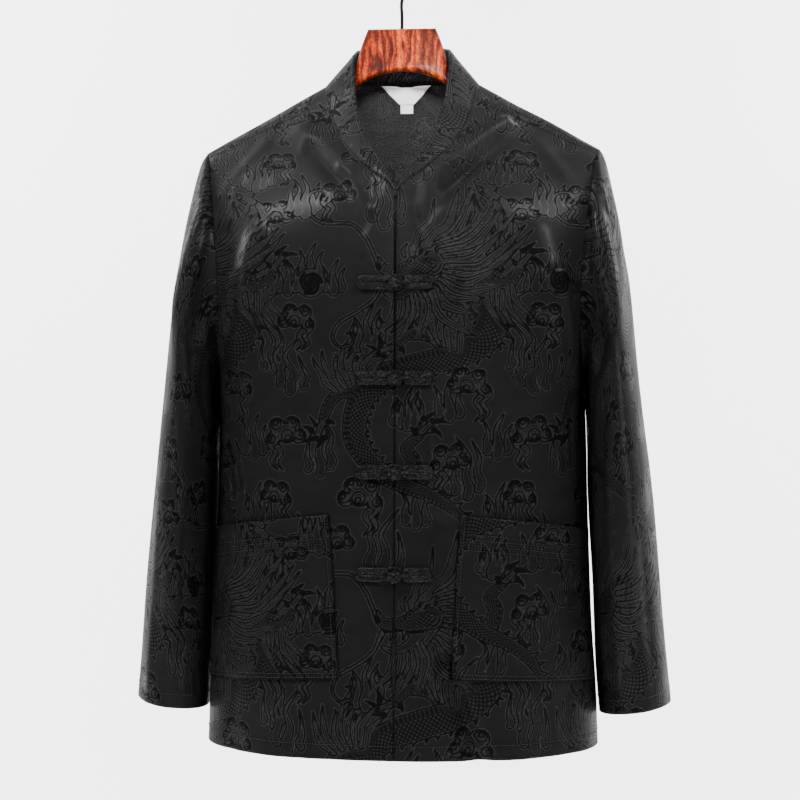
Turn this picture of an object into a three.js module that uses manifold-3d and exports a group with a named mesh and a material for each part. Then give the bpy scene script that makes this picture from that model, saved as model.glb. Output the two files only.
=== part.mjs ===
// A stand-collar shirt of figured black cloth with straight frog fasteners, hung on a wooden hanger.
// Millimetres, +Z up. Inside this file heights run up from the hem, +X is the wearer's left and -Y is
// the front. The finished group is lowered so that its origin is where the hook hangs.

import * as THREE from 'three';
import { mergeVertices } from 'three/addons/utils/BufferGeometryUtils.js';
import Module from 'manifold-3d';

const wasm = await Module();
wasm.setup();

// Driving sizes of the garment
const clothThickness = 1.6;
const collarThickness = 2.6;
const labelThickness = 1.0;
const seamGap = 0.35;
const underarmHeight = 393;
const shoulderTipHeight = 638;
const armholeFrontDepth = 60;
const armholeBackDepth = 64;
const armholeEgg = 0.25;
const frontSlit = 0.4;
const slitSpread = 1.1;
const slitStartHeight = 150;

// Driving sizes of the frogs
const frogHeights = [489, 390.6, 294, 189.4];
const frogReach = 36;
const strapHalfWidth = 3.6;
const strapHalfHeight = 1.9;
const loopRadius = 6.2;
const loopHalfWidth = 2.0;
const knotRadius = 6.0;
const knotLift = 8.5;
const knotDrop = 1.2;
const neckRadius = 1.9;
const neckFootX = 15;
const neckBendX = 8;
const neckBendDrop = 0.4;

// Driving sizes of the hanger
const woodThickness = 12;
const woodBevel = 3;
const wireRadius = 1.85;
const boreRadius = 2.2;
const boreDepth = 16;
const headTopHeight = 772;
const hookTopHeight = 858;
const hangHeight = hookTopHeight - wireRadius;
const hookRadius = 24;
const shankInset = 0.6;
const shankHeights = [12, 31];
const hookBend = { x: 5, rise: 1.5 };
const hookTurns = [-55, -20, 20, 55, 90, 125, 160, 195];

// Line of the shoulder from the side of the neck to its tip, and how far under it the hanger's arm lies
const shoulderLine = { neckX: 84, neckHeight: 711, tipX: 215 };
const armDrop = { neckX: 84, atNeck: 4.9, atTip: 2.9, tipX: 205 };

// Makes a list of records from a row of column names and rows of values.
function table(columns, rows) {
  return rows.map((row) => Object.fromEntries(columns.map((name, index) => [name, row[index]])));
}

// The tube of the body below the underarm, level sections from the hem up.
const bodySections = table(['height', 'halfWidth', 'halfDepth', 'fullness'], [
  [0, 212, 120, 0.60],
  [60, 210, 118, 0.60],
  [130, 205.5, 115, 0.61],
  [210, 202.5, 112, 0.63],
  [290, 200, 108.5, 0.68],
  [350, 198, 106, 0.75],
  [underarmHeight, 197, 104, 0.82],
]);

// Half-width of the armhole by the turn around it: 0 at the shoulder tip, 180 at the underarm.
const armholeWidths = table(['turn', 'x'], [
  [0, 215],
  [44, 205],
  [75, 197],
  [103, 192],
  [136, 193],
  [163, 196],
  [180, 197],
]);

// Rows of the front above the underarm, from the front edge or neckline to the armhole. Reach and
// sweep are the shares of the row's width that its handles take, the bows how far they stand out.
const yokeColumns = ['innerX', 'innerY', 'innerHeight', 'turn', 'reach', 'innerBow', 'sweep', 'outerBow'];
const frontYoke = table(yokeColumns, [
  [frontSlit, -103.5, 402, 160, 0.736, 0, 0.041, 63],
  [frontSlit, -103, 437, 138, 0.646, 0, 0.09, 44],
  [frontSlit, -100, 505, 100, 0.594, 0, 0.125, 30],
  [frontSlit, -92, 577, 75, 0.48, 0, 0.20, 24],
  [41, -70, 618, 55, 0.34, -4, 0.30, 21],
  [60, -50, 643, 40, 0.33, -1.3, 0.33, 15],
  [74, -30, 670, 27, 0.33, 1, 0.33, 8],
  [81.2, -16.2, 697.2, 12.4, 0.33, -1.2, 0.33, 4.2],
]);

// Rows of the back above the underarm. The last ones carry it over the shoulder to the front seam.
const backYoke = table(yokeColumns, [
  [0, 104, 402, 160, 0.736, 0, 0.041, 62],
  [0, 103, 440, 138, 0.646, 0, 0.09, 42],
  [0, 100, 520, 103, 0.594, 0, 0.125, 26],
  [0, 94, 610, 80, 0.48, 0, 0.20, 24],
  [0, 84, 680, 62, 0.42, 0, 0.26, 24],
  [0, 72, 727, 46, 0.36, 0, 0.30, 18],
  [34, 66, 725.5, 34, 0.33, -6, 0.33, 20],
  [62, 52, 722, 24, 0.33, -7, 0.33, 17],
  [79, 28, 716, 12, 0.33, -4, 0.33, 9],
  [84, 3, 711, 0, 0.33, -1, 0.33, 1],
  [83, -7.5, 706.2, -6.5, 0.33, 0.3, 0.33, -1.8],
  [81.3, -15.9, 697.6, -12, 0.33, 1.2, 0.33, -4.2],
]);

// Rings of a sleeve below the armhole, each from its outer edge to the edge beside the body.
const sleeveRings = table(['outerX', 'outerHeight', 'innerX', 'innerHeight', 'halfDepth'], [
  [224.5, 622, 198.0, 386, 68],
  [231.5, 580, 198.4, 372, 76],
  [238.5, 535, 199.0, 354, 83],
  [246, 488, 199.8, 330, 88],
  [256, 392, 201.5, 285, 88],
  [266.5, 303, 204.0, 212, 82],
  [275, 211, 207.0, 140, 72],
  [284, 115, 210.4, 80, 62],
  [290, 46.5, 213.4, 34, 55],
]);

// Top edge of the collar band by the distance along the neck seam from centre back.
const collarTops = table(['along', 'x', 'y', 'height'], [
  [0, 0, 62, 767],
  [35, 27, 56, 765],
  [66, 45, 36, 758],
  [96, 52, 16, 752],
  [120, 52.5, 0, 742],
  [146, 50.5, -15, 717],
  [172, 47, -29, 688],
  [212, 37, -52, 655],
  [248, 25, -68, 629],
  [280, 11, -80, 608],
  [308, 1.2, -89, 592],
]);

// Large folds of the fronts, each a soft ridge or trough between two points seen from the front.
const frontFolds = table(['fromX', 'fromHeight', 'toX', 'toHeight', 'width', 'rise'], [
  [112, 664, 42, 604, 13, 6],
  [100, 636, 52, 590, 14, -4],
  [-104, 655, -46, 606, 15, 3],
  [39, 345, 40, 305, 9, 3.5],
  [40, 305, 64, 255, 9, 3.5],
  [48, 236, 52, 92, 12, -4],
  [52, 92, 86, 10, 13, -4],
  [-46, 330, -58, 268, 14, 2.5],
  [150, 520, 172, 440, 16, 4],
  [-152, 524, -172, 446, 16, 4],
  [120, 60, 128, -10, 20, 3],
  [-118, 70, -124, -10, 22, 3],
]);

// Large folds of the back, similar ones on the side that the front view hides.
const backFolds = table(['fromX', 'fromHeight', 'toX', 'toHeight', 'width', 'rise'], [
  [96, 668, 132, 560, 18, 4],
  [-92, 664, -130, 552, 20, 4],
  [152, 500, 172, 418, 18, 4],
  [-150, 506, -172, 424, 18, 4],
  [70, 250, 92, 0, 24, -4],
  [-64, 230, -88, 0, 26, -4],
  [6, 190, 0, 0, 24, 3],
]);

// Large folds of the sleeves: turn around the sleeve, and first and last ring of the fold.
const sleeveFolds = table(['side', 'turn', 'fromRing', 'toRing', 'spread', 'rise'], [
  [-1, 62, 0.8, 4.2, 15, 5],
  [-1, 104, 1.0, 3.6, 14, -5],
  [1, 70, 0.8, 3.8, 15, 5],
  [1, 112, 1.0, 3.4, 14, -5],
  [-1, 96, 5.2, 8.6, 18, 3],
  [1, 100, 5.0, 8.0, 18, 3],
  [-1, -70, 1.0, 4.4, 16, 4],
  [1, -66, 1.0, 4.2, 16, 4],
]);

// Smooth interpolation that never swings past its rows. Position counts rows from 0.
function columnAt(rows, name, position) {
  const last = rows.length - 1;
  const clamped = Math.min(Math.max(position, 0), last);
  const index = Math.min(Math.floor(clamped), last - 1);
  const local = clamped - index;
  const value = (row) => rows[Math.min(Math.max(row, 0), last)][name];
  const slopeAt = (row) => {
    if (row === 0) return value(1) - value(0);
    if (row === last) return value(last) - value(last - 1);
    const before = value(row) - value(row - 1);
    const after = value(row + 1) - value(row);
    if (before * after <= 0) return 0;
    const mean = (before + after) / 2;
    return Math.sign(mean) * Math.min(Math.abs(mean), 2 * Math.abs(before), 2 * Math.abs(after));
  };
  const startSlope = slopeAt(index);
  const endSlope = slopeAt(index + 1);
  const squared = local * local;
  const cubed = squared * local;
  return value(index) * (2 * cubed - 3 * squared + 1)
    + startSlope * (cubed - 2 * squared + local)
    + value(index + 1) * (3 * squared - 2 * cubed)
    + endSlope * (cubed - squared);
}

function mix(start, end, share) {
  return start + (end - start) * share;
}

function smoothStep(low, high, value) {
  const share = Math.min(Math.max((value - low) / (high - low), 0), 1);
  return share * share * (3 - 2 * share);
}

// Position, in rows, at which a column of rising values reaches a value.
function positionOf(rows, name, target) {
  let low = 0;
  let high = rows.length - 1;
  for (let step = 0; step < 40; step += 1) {
    const middle = (low + high) / 2;
    if (columnAt(rows, name, middle) < target) low = middle;
    else high = middle;
  }
  return (low + high) / 2;
}

// Armhole edge of the wearer's left side. A negative turn crosses to the other face.
function armholePoint(turn, face) {
  const angle = THREE.MathUtils.degToRad(turn);
  const middle = (shoulderTipHeight + underarmHeight) / 2;
  const halfHeight = (shoulderTipHeight - underarmHeight) / 2;
  const depth = face * Math.sign(turn || 1) < 0 ? armholeFrontDepth : armholeBackDepth;
  const widthPosition = positionOf(armholeWidths, 'turn', Math.abs(turn));
  return new THREE.Vector3(
    columnAt(armholeWidths, 'x', widthPosition),
    face * depth * Math.sin(angle) * (1 - armholeEgg * Math.cos(angle)),
    middle + halfHeight * Math.cos(angle),
  );
}

// A panel's rows with the four control points of each: inner, two handles, outer. Face is -1 for the
// front and +1 for the back.
function panelRows(yoke, face, innerX) {
  const lower = bodySections.map((section) => ({
    innerX,
    innerY: face * section.halfDepth,
    innerHeight: section.height,
    reachX: innerX + section.halfWidth * section.fullness,
    reachY: face * section.halfDepth,
    sweepX: section.halfWidth,
    sweepY: face * section.halfDepth * section.fullness,
    outerX: section.halfWidth,
    outerY: face * seamGap / 2,
    outerHeight: section.height,
  }));
  const upper = yoke.map((row) => {
    const outer = armholePoint(row.turn, face);
    const span = outer.x - row.innerX;
    return {
      innerX: row.innerX,
      innerY: row.innerY,
      innerHeight: row.innerHeight,
      reachX: row.innerX + span * row.reach,
      reachY: row.innerY + face * row.innerBow,
      sweepX: outer.x - span * row.sweep,
      sweepY: outer.y + face * row.outerBow,
      outerX: outer.x,
      outerY: outer.y,
      outerHeight: outer.z,
    };
  });
  return [...lower, ...upper];
}

function bezier(start, first, second, end, share) {
  const rest = 1 - share;
  return rest ** 3 * start + 3 * rest * rest * share * first
    + 3 * rest * share * share * second + share ** 3 * end;
}

// Smooth point of a panel, before its folds. Across runs 0 to 1 from the inner edge to the outer one.
function smoothPoint(rows, across, position) {
  const at = (name) => columnAt(rows, name, position);
  return new THREE.Vector3(
    bezier(at('innerX'), at('reachX'), at('sweepX'), at('outerX'), across),
    bezier(at('innerY'), at('reachY'), at('sweepY'), at('outerY'), across),
    mix(at('innerHeight'), at('outerHeight'), across),
  );
}

// How far the folds lift the cloth at a place seen from the front or back.
function foldRise(folds, x, height) {
  let rise = 0;
  for (const fold of folds) {
    const alongX = fold.toX - fold.fromX;
    const alongHeight = fold.toHeight - fold.fromHeight;
    const lengthSquared = alongX ** 2 + alongHeight ** 2;
    const share = ((x - fold.fromX) * alongX + (height - fold.fromHeight) * alongHeight) / lengthSquared;
    const held = Math.min(Math.max(share, 0), 1);
    const offX = x - fold.fromX - alongX * held;
    const offHeight = height - fold.fromHeight - alongHeight * held;
    const away = Math.hypot(offX, offHeight) / fold.width;
    rise += fold.rise * Math.exp(-away * away);
  }
  return rise;
}

// A panel of the body. Side is +1 for the wearer's left and -1 for the right.
function makePanel(rows, face, folds) {
  const last = rows.length - 1;
  const plain = (side, across, position) => {
    const point = smoothPoint(rows, Math.abs(across), position);
    point.x *= side;
    return point;
  };
  const facingAt = (side, across, position) => {
    const low = Math.max(across - 0.01, 0);
    const high = Math.min(across + 0.01, 1);
    const below = Math.max(position - 0.2, 0);
    const above = Math.min(position + 0.2, last);
    const acrossWay = plain(side, high, position).sub(plain(side, low, position));
    const upWay = plain(side, across, above).sub(plain(side, across, below));
    const facing = acrossWay.cross(upWay).normalize().multiplyScalar(-face * side);
    if (across === 0 && smoothPoint(rows, 0, position).x < 1) facing.x = 0;
    return facing.normalize();
  };
  const pointAt = (side, across, position, lift = 0) => {
    const point = plain(side, across, position);
    const isSeam = panel.seamFacing && position > last - 0.001;
    const facing = isSeam ? panel.seamFacing(side, across) : facingAt(side, across, position);
    const edgeHold = smoothStep(0, 0.06, 1 - across) * smoothStep(0, 0.8, last - position);
    const rise = foldRise(folds, point.x, point.z) * edgeHold;
    return point.addScaledVector(facing, rise + lift);
  };
  // Place of a point given by its distance from the middle and its height, for what lies on the panel.
  const findPlace = (x, height) => {
    let low = 0;
    let high = last;
    let across = 0;
    for (let step = 0; step < 26; step += 1) {
      const position = (low + high) / 2;
      let near = 0;
      let far = 1;
      for (let inner = 0; inner < 22; inner += 1) {
        across = (near + far) / 2;
        if (smoothPoint(rows, across, position).x < Math.abs(x)) near = across;
        else far = across;
      }
      if (smoothPoint(rows, across, position).z < height) low = position;
      else high = position;
    }
    return { across, position: (low + high) / 2 };
  };
  const panel = { pointAt, facingAt, findPlace, last, seamFacing: null };
  return panel;
}

const frontRows = panelRows(frontYoke, -1, frontSlit);
const backRows = panelRows(backYoke, 1, 0);
const front = makePanel(frontRows, -1, frontFolds);
const back = makePanel(backRows, 1, backFolds);

// Both walls lean the same way where they meet at the shoulder seam.
const shoulderFacing = (side, across) => (
  front.facingAt(side, across, front.last).add(back.facingAt(side, across, back.last)).normalize()
);
front.seamFacing = shoulderFacing;
back.seamFacing = shoulderFacing;

// Turns a list of triangles over shared points into a closed geometry that faces out.
function closedGeometry(points, triangles) {
  const positions = new Float32Array(points.flatMap((point) => [point.x, point.y, point.z]));
  let volume = 0;
  for (const [first, second, third] of triangles) {
    volume += points[first].dot(points[second].clone().cross(points[third]));
  }
  const ordered = volume < 0 ? triangles.map(([first, second, third]) => [first, third, second]) : triangles;
  const geometry = new THREE.BufferGeometry();
  geometry.setAttribute('position', new THREE.BufferAttribute(positions, 3));
  geometry.setIndex(ordered.flat());
  return mergeVertices(geometry, 1e-3);
}

// Points and triangles of a wall between two grids of the same shape. A tube closes on itself across
// its columns. The first column has no rim below the joined row, where a mirrored half meets it.
function wallParts(outer, inner, isTube = false, joinedRow = 0) {
  const rows = outer.length;
  const columns = outer[0].length;
  const points = [...outer.flat(), ...inner.flat()];
  const outerIndex = (row, column) => row * columns + (column % columns);
  const innerIndex = (row, column) => rows * columns + outerIndex(row, column);
  const triangles = [];
  const quad = (first, second, third, fourth) => {
    triangles.push([first, second, third], [first, third, fourth]);
  };
  const spans = isTube ? columns : columns - 1;
  for (let row = 0; row < rows - 1; row += 1) {
    for (let column = 0; column < spans; column += 1) {
      const next = column + 1;
      const above = row + 1;
      quad(outerIndex(row, column), outerIndex(row, next), outerIndex(above, next), outerIndex(above, column));
      quad(innerIndex(row, column), innerIndex(above, column), innerIndex(above, next), innerIndex(row, next));
    }
  }
  for (let column = 0; column < spans; column += 1) {
    const next = column + 1;
    const top = rows - 1;
    quad(outerIndex(0, column), innerIndex(0, column), innerIndex(0, next), outerIndex(0, next));
    quad(outerIndex(top, column), outerIndex(top, next), innerIndex(top, next), innerIndex(top, column));
  }
  if (!isTube) {
    const end = columns - 1;
    for (let row = 0; row < rows - 1; row += 1) {
      if (row >= joinedRow) {
        quad(outerIndex(row, 0), outerIndex(row + 1, 0), innerIndex(row + 1, 0), innerIndex(row, 0));
      }
      quad(outerIndex(row, end), innerIndex(row, end), innerIndex(row + 1, end), outerIndex(row + 1, end));
    }
  }
  return { points, triangles };
}

function wallBetween(outer, inner, isTube = false) {
  const { points, triangles } = wallParts(outer, inner, isTube);
  return closedGeometry(points, triangles);
}

function grid(rows, columns, pointOf) {
  return Array.from({ length: rows + 1 }, (_, row) => (
    Array.from({ length: columns + 1 }, (_unused, column) => pointOf(column / columns, row / rows))
  ));
}

// Materials, one for each kind of finish
const finishes = {
  cloth: { color: 0x29282b, roughness: 0.62, metalness: 0 },
  collar: { color: 0x2a292c, roughness: 0.6, metalness: 0 },
  frog: { color: 0x2d2c2e, roughness: 0.55, metalness: 0 },
  label: { color: 0xe9e7e2, roughness: 0.7, metalness: 0 },
  wood: { color: 0x8f4a24, roughness: 0.35, metalness: 0 },
  hook: { color: 0x17171a, roughness: 0.35, metalness: 0.8 },
};

const garment = new THREE.Group();
garment.position.z = -hangHeight;

function addPiece(name, geometry, finish) {
  const material = new THREE.MeshStandardMaterial(finishes[finish]);
  const piece = new THREE.Mesh(geometry, material);
  piece.name = name;
  garment.add(piece);
  return piece;
}

// Body
const panelRowSteps = 2;
const halfColumns = 10;

function slitOffset(across, height) {
  return slitSpread * (1 - smoothStep(0, slitStartHeight, height)) * (1 - smoothStep(0, 0.12, across));
}

// Outer and inner grids of one half of a panel, from its middle to its side.
function halfGrids(panel, side, spread) {
  const pointOf = (lift) => (across, up) => {
    const point = panel.pointAt(side, across, up * panel.last, lift);
    point.x += side * spread(across, point.z);
    return point;
  };
  const rows = panel.last * panelRowSteps;
  return {
    outer: grid(rows, halfColumns, pointOf(0)),
    inner: grid(rows, halfColumns, pointOf(-clothThickness)),
  };
}

const frontHalves = { 1: halfGrids(front, 1, slitOffset), [-1]: halfGrids(front, -1, slitOffset) };
const backHalves = { 1: halfGrids(back, 1, () => 0), [-1]: halfGrids(back, -1, () => 0) };
addPiece('front_left', wallBetween(frontHalves[1].outer, frontHalves[1].inner), 'cloth');
addPiece('front_right', wallBetween(frontHalves[-1].outer, frontHalves[-1].inner), 'cloth');

// The back's halves are one cloth up to the neck, and part there to pass over the two shoulders.
const backNeckRow = (bodySections.length + 5) * panelRowSteps;
const frontNeckRow = (bodySections.length + 3) * panelRowSteps;

function joinedBack() {
  const left = wallParts(backHalves[1].outer, backHalves[1].inner, false, backNeckRow);
  const right = wallParts(backHalves[-1].outer, backHalves[-1].inner, false, backNeckRow);
  const shift = left.points.length;
  const mirrored = right.triangles.map(([first, second, third]) => (
    [first + shift, third + shift, second + shift]
  ));
  return closedGeometry([...left.points, ...right.points], [...left.triangles, ...mirrored]);
}
addPiece('back', joinedBack(), 'cloth');

// Point on the flat facets of a half, so that what is sewn to the cloth lies evenly on it.
function facetPoint(panel, halves, side, across, position, lift) {
  const rows = halves[side].outer;
  const rowPlace = Math.min(position * panelRowSteps, rows.length - 1.001);
  const columnPlace = Math.min(across * halfColumns, halfColumns - 0.001);
  const row = Math.floor(rowPlace);
  const column = Math.floor(columnPlace);
  const up = rowPlace - row;
  const along = columnPlace - column;
  const start = rows[row][column];
  const far = rows[row + 1][column + 1];
  const point = start.clone();
  if (along >= up) {
    const beside = rows[row][column + 1];
    point.addScaledVector(beside.clone().sub(start), along).addScaledVector(far.clone().sub(beside), up);
  } else {
    const above = rows[row + 1][column];
    point.addScaledVector(above.clone().sub(start), up).addScaledVector(far.clone().sub(above), along);
  }
  return point.addScaledVector(panel.facingAt(side, across, position), lift);
}

function onFront(x, height, lift) {
  const place = front.findPlace(x, height);
  return facetPoint(front, frontHalves, x < 0 ? -1 : 1, place.across, place.position, lift);
}

function onBack(x, height, lift) {
  const place = back.findPlace(x, height);
  return facetPoint(back, backHalves, x < 0 ? -1 : 1, place.across, place.position, lift);
}

// Sleeves
const sleeveSegments = 20;
const sleeveRingSteps = 2;

function sleeveRing(position) {
  const first = sleeveRings[0];
  const start = {
    outerX: armholeWidths[0].x,
    outerHeight: shoulderTipHeight,
    innerX: armholeWidths[armholeWidths.length - 1].x,
    innerHeight: underarmHeight,
  };
  const rows = [{ ...first, ...start, halfDepth: armholeBackDepth }, ...sleeveRings];
  const at = (name) => columnAt(rows, name, position);
  return {
    outer: new THREE.Vector3(at('outerX'), 0, at('outerHeight')),
    inner: new THREE.Vector3(at('innerX'), 0, at('innerHeight')),
    halfDepth: at('halfDepth'),
  };
}

// Point of a sleeve's face. Turn is 0 at the outer edge, 180 beside the body, positive in front.
function sleevePoint(side, turn, position) {
  const ring = sleeveRing(position);
  const angle = THREE.MathUtils.degToRad(turn);
  const point = new THREE.Vector3()
    .addVectors(ring.outer, ring.inner).multiplyScalar(0.5)
    .addScaledVector(ring.outer.clone().sub(ring.inner), Math.cos(angle) / 2);
  point.y = -ring.halfDepth * Math.sin(angle);
  const seamShare = 1 - smoothStep(0, 2.5, position);
  const seam = armholePoint(Math.abs(turn), turn < 0 ? 1 : -1);
  seam.x += seamGap;
  point.lerp(seam, seamShare * (position < 0.001 ? 1 : 0.8));
  point.x *= side;
  return point;
}

function sleeveFoldRise(side, turn, position) {
  let rise = 0;
  for (const fold of sleeveFolds) {
    if (fold.side !== side) continue;
    const away = (turn - fold.turn) / fold.spread;
    const span = smoothStep(fold.fromRing - 0.8, fold.fromRing + 0.4, position)
      * (1 - smoothStep(fold.toRing - 0.6, fold.toRing + 0.6, position));
    rise += fold.rise * Math.exp(-away * away) * span;
  }
  return rise;
}

function sleeveFacing(side, turn, position) {
  const last = sleeveRings.length;
  const low = Math.max(position - 0.03, 0);
  const high = Math.min(position + 0.03, last);
  const around = sleevePoint(side, turn + 1, position).sub(sleevePoint(side, turn - 1, position));
  const along = sleevePoint(side, turn, high).sub(sleevePoint(side, turn, low));
  const facing = around.cross(along).normalize().multiplyScalar(side);
  if (position < 0.001 && facing.x * side > 0) facing.x = 0;
  return facing.normalize();
}

for (const [name, side] of [['sleeve_left', 1], ['sleeve_right', -1]]) {
  const last = sleeveRings.length;
  const faceOf = (lift) => Array.from({ length: last * sleeveRingSteps + 1 }, (_, row) => (
    Array.from({ length: sleeveSegments }, (_unused, column) => {
      const turn = (column / sleeveSegments) * 360 - 180;
      const position = row / sleeveRingSteps;
      const facing = sleeveFacing(side, turn, position);
      const rise = sleeveFoldRise(side, turn, position) + lift;
      return sleevePoint(side, turn, position).addScaledVector(facing, rise);
    })
  ));
  addPiece(name, wallBetween(faceOf(0), faceOf(-clothThickness), true), 'cloth');
}

// Collar: a band that leans in, from one rounded front end around the back to the other. Its lower
// edge follows the neckline of the back and the front, point by point.
const collarGap = 0.55;
const collarRowsUp = 5;
const collarEndLength = 26;
const collarEndDrop = 0.3;
const collarBulge = 1.2;

function necklineOf(halves, fromRow, toRow) {
  const step = Math.sign(toRow - fromRow);
  const points = [];
  for (let row = fromRow; row !== toRow + step; row += step) points.push(halves[1].outer[row][0].clone());
  return points;
}

const neckline = [
  ...necklineOf(backHalves, backNeckRow, back.last * panelRowSteps),
  ...necklineOf(frontHalves, front.last * panelRowSteps - 1, frontNeckRow),
];
const necklineLengths = neckline.reduce((lengths, point, index) => (
  [...lengths, index === 0 ? 0 : lengths[index - 1] + point.distanceTo(neckline[index - 1])]
), []);

function collarRib(index) {
  const length = necklineLengths[necklineLengths.length - 1];
  const along = necklineLengths[index];
  const place = positionOf(collarTops, 'along', (along / length) * collarTops[collarTops.length - 1].along);
  const top = new THREE.Vector3(
    columnAt(collarTops, 'x', place),
    columnAt(collarTops, 'y', place),
    columnAt(collarTops, 'height', place),
  );
  const seam = neckline[index];
  const rise = top.sub(seam);
  const endShare = smoothStep(length - collarEndLength, length, along) ** 2;
  return { seam, rise, reach: 1 - collarEndDrop * endShare };
}

const collarRibs = neckline.map((_, index) => collarRib(index));

function collarPoint(side, index, up, lift) {
  const bare = (ribIndex, height) => {
    const rib = collarRibs[Math.min(Math.max(ribIndex, 0), collarRibs.length - 1)];
    const start = collarGap / rib.rise.length();
    const point = rib.seam.clone().addScaledVector(rib.rise, mix(start, rib.reach, height));
    const outward = new THREE.Vector3(point.x, point.y, 0).normalize();
    return point.addScaledVector(outward, collarBulge * Math.sin(Math.PI * height));
  };
  const along = bare(index + 1, up).sub(bare(index - 1, up));
  if (index === 0) along.set(1, 0, 0);
  const rise = bare(index, Math.min(up + 0.05, 1)).sub(bare(index, Math.max(up - 0.05, 0)));
  const facing = rise.cross(along).normalize();
  const point = bare(index, up).addScaledVector(facing, lift);
  point.x *= side;
  return point;
}

function collarFace(lift) {
  return Array.from({ length: collarRowsUp + 1 }, (_, row) => {
    const half = (side) => neckline.map((_unused, index) => (
      collarPoint(side, index, row / collarRowsUp, lift)
    ));
    return [...half(-1).slice(1).reverse(), ...half(1)];
  });
}
addPiece('collar', wallBetween(collarFace(0), collarFace(-collarThickness)), 'collar');

// Patch pockets: edges by the share of the front's width, corners by height. Inside its edges a
// pocket takes the front's own rows and columns, moved out.
const pocket = {
  innerBottom: 0.16,
  innerTop: 0.188,
  outerBottom: 0.86,
  outerTop: 0.898,
  innerTopHeight: 250,
  outerTopHeight: 229,
  innerBottomHeight: 82,
  outerBottomHeight: 71,
  clearance: 0.6,
  gape: 2.4,
  columns: [0.2, 0.3, 0.4, 0.5, 0.6, 0.7, 0.8],
  rows: [1.5, 2, 2.5, 3],
};

function pocketPosition(innerHeight, outerHeight, share) {
  return positionOf(frontRows, 'innerHeight', mix(innerHeight, outerHeight, share));
}

function pocketPoint(side, column, row, lift) {
  const columns = pocket.columns.length + 1;
  const rows = pocket.rows.length + 1;
  const share = column / columns;
  const up = row / rows;
  const lowPosition = pocketPosition(pocket.innerBottomHeight, pocket.outerBottomHeight, share);
  const highPosition = pocketPosition(pocket.innerTopHeight, pocket.outerTopHeight, share);
  const inner = mix(pocket.innerBottom, pocket.innerTop, up);
  const outer = mix(pocket.outerBottom, pocket.outerTop, up);
  const across = column === 0 ? inner : (column === columns ? outer : pocket.columns[column - 1]);
  const position = row === 0 ? lowPosition : (row === rows ? highPosition : pocket.rows[row - 1]);
  const opening = pocket.gape * Math.sin(Math.PI * share) * (row === rows ? 1 : 0);
  return facetPoint(front, frontHalves, side, across, position, lift + opening);
}

for (const [name, side] of [['pocket_left', 1], ['pocket_right', -1]]) {
  const face = (lift) => Array.from({ length: pocket.rows.length + 2 }, (_, row) => (
    Array.from({ length: pocket.columns.length + 2 }, (_unused, column) => (
      pocketPoint(side, column, row, lift)
    ))
  ));
  addPiece(name, wallBetween(face(pocket.clearance + clothThickness), face(pocket.clearance)), 'cloth');
}

// Frogs: each half is a cord folded back on itself, sewn down as two strips side by side
const strapGap = 0.3;
const stripOffset = strapHalfWidth + strapGap / 2;
const cordSides = 6;
const knotStripStart = loopRadius + loopHalfWidth + strapGap + stripOffset + strapHalfWidth;

// Closed path of one half, seen from the front, with the half-width of the cord at each point.
function stripPath(innerCentre, innerEnd, endRadius, endHalfWidth, endSteps) {
  const path = [];
  const arc = (centreX, radius, startAngle, endAngle, steps, halfWidth) => {
    for (let step = 0; step <= steps; step += 1) {
      const angle = mix(startAngle, endAngle, step / steps);
      path.push({ x: centreX + radius * Math.cos(angle), up: radius * Math.sin(angle), halfWidth });
    }
  };
  const outerCentre = frogReach - stripOffset;
  arc(outerCentre, stripOffset, -Math.PI / 2, Math.PI / 2, 4, strapHalfWidth);
  path.push({ x: mix(outerCentre, innerEnd, 0.5), up: stripOffset, halfWidth: strapHalfWidth });
  path.push({ x: innerEnd, up: stripOffset, halfWidth: strapHalfWidth });
  const opening = Math.asin(Math.min(stripOffset / endRadius, 1));
  arc(innerCentre, endRadius, opening, Math.PI * 2 - opening, endSteps, endHalfWidth);
  path.push({ x: innerEnd, up: -stripOffset, halfWidth: strapHalfWidth });
  path.push({ x: mix(outerCentre, innerEnd, 0.5), up: -stripOffset, halfWidth: strapHalfWidth });
  return path;
}

// Sweeps a flattened round section along a closed path that lies on the fronts.
function cordRing(path, side, frogHeight) {
  const rings = path.map((point, index) => {
    const before = path[(index + path.length - 1) % path.length];
    const after = path[(index + 1) % path.length];
    const along = new THREE.Vector2(after.x - before.x, after.up - before.up).normalize();
    return Array.from({ length: cordSides }, (_, corner) => {
      const angle = ((corner + 0.5) / cordSides) * Math.PI * 2;
      const out = Math.cos(angle) * point.halfWidth;
      const lift = seamGap + strapHalfHeight * (1 + Math.sin(angle));
      const x = side * (point.x - along.y * out);
      return onFront(x, frogHeight + point.up + along.x * out, lift);
    });
  });
  const points = rings.flat();
  const triangles = [];
  for (let ring = 0; ring < rings.length; ring += 1) {
    for (let corner = 0; corner < cordSides; corner += 1) {
      const nextRing = (ring + 1) % rings.length;
      const nextCorner = (corner + 1) % cordSides;
      const first = ring * cordSides + corner;
      const second = ring * cordSides + nextCorner;
      const third = nextRing * cordSides + nextCorner;
      const fourth = nextRing * cordSides + corner;
      triangles.push([first, second, third], [first, third, fourth]);
    }
  }
  return closedGeometry(points, triangles);
}

function solidOf(geometry) {
  const bare = new THREE.BufferGeometry();
  bare.setAttribute('position', geometry.getAttribute('position'));
  bare.setIndex(geometry.getIndex());
  const merged = mergeVertices(bare, 1e-3);
  return new wasm.Manifold(new wasm.Mesh({
    numProp: 3,
    vertProperties: new Float32Array(merged.attributes.position.array),
    triVerts: new Uint32Array(merged.index.array),
  }));
}

function geometryOf(solid) {
  const mesh = solid.getMesh();
  const geometry = new THREE.BufferGeometry();
  geometry.setAttribute('position', new THREE.BufferAttribute(mesh.vertProperties, 3));
  geometry.setIndex(new THREE.BufferAttribute(mesh.triVerts, 1));
  return geometry;
}

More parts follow.
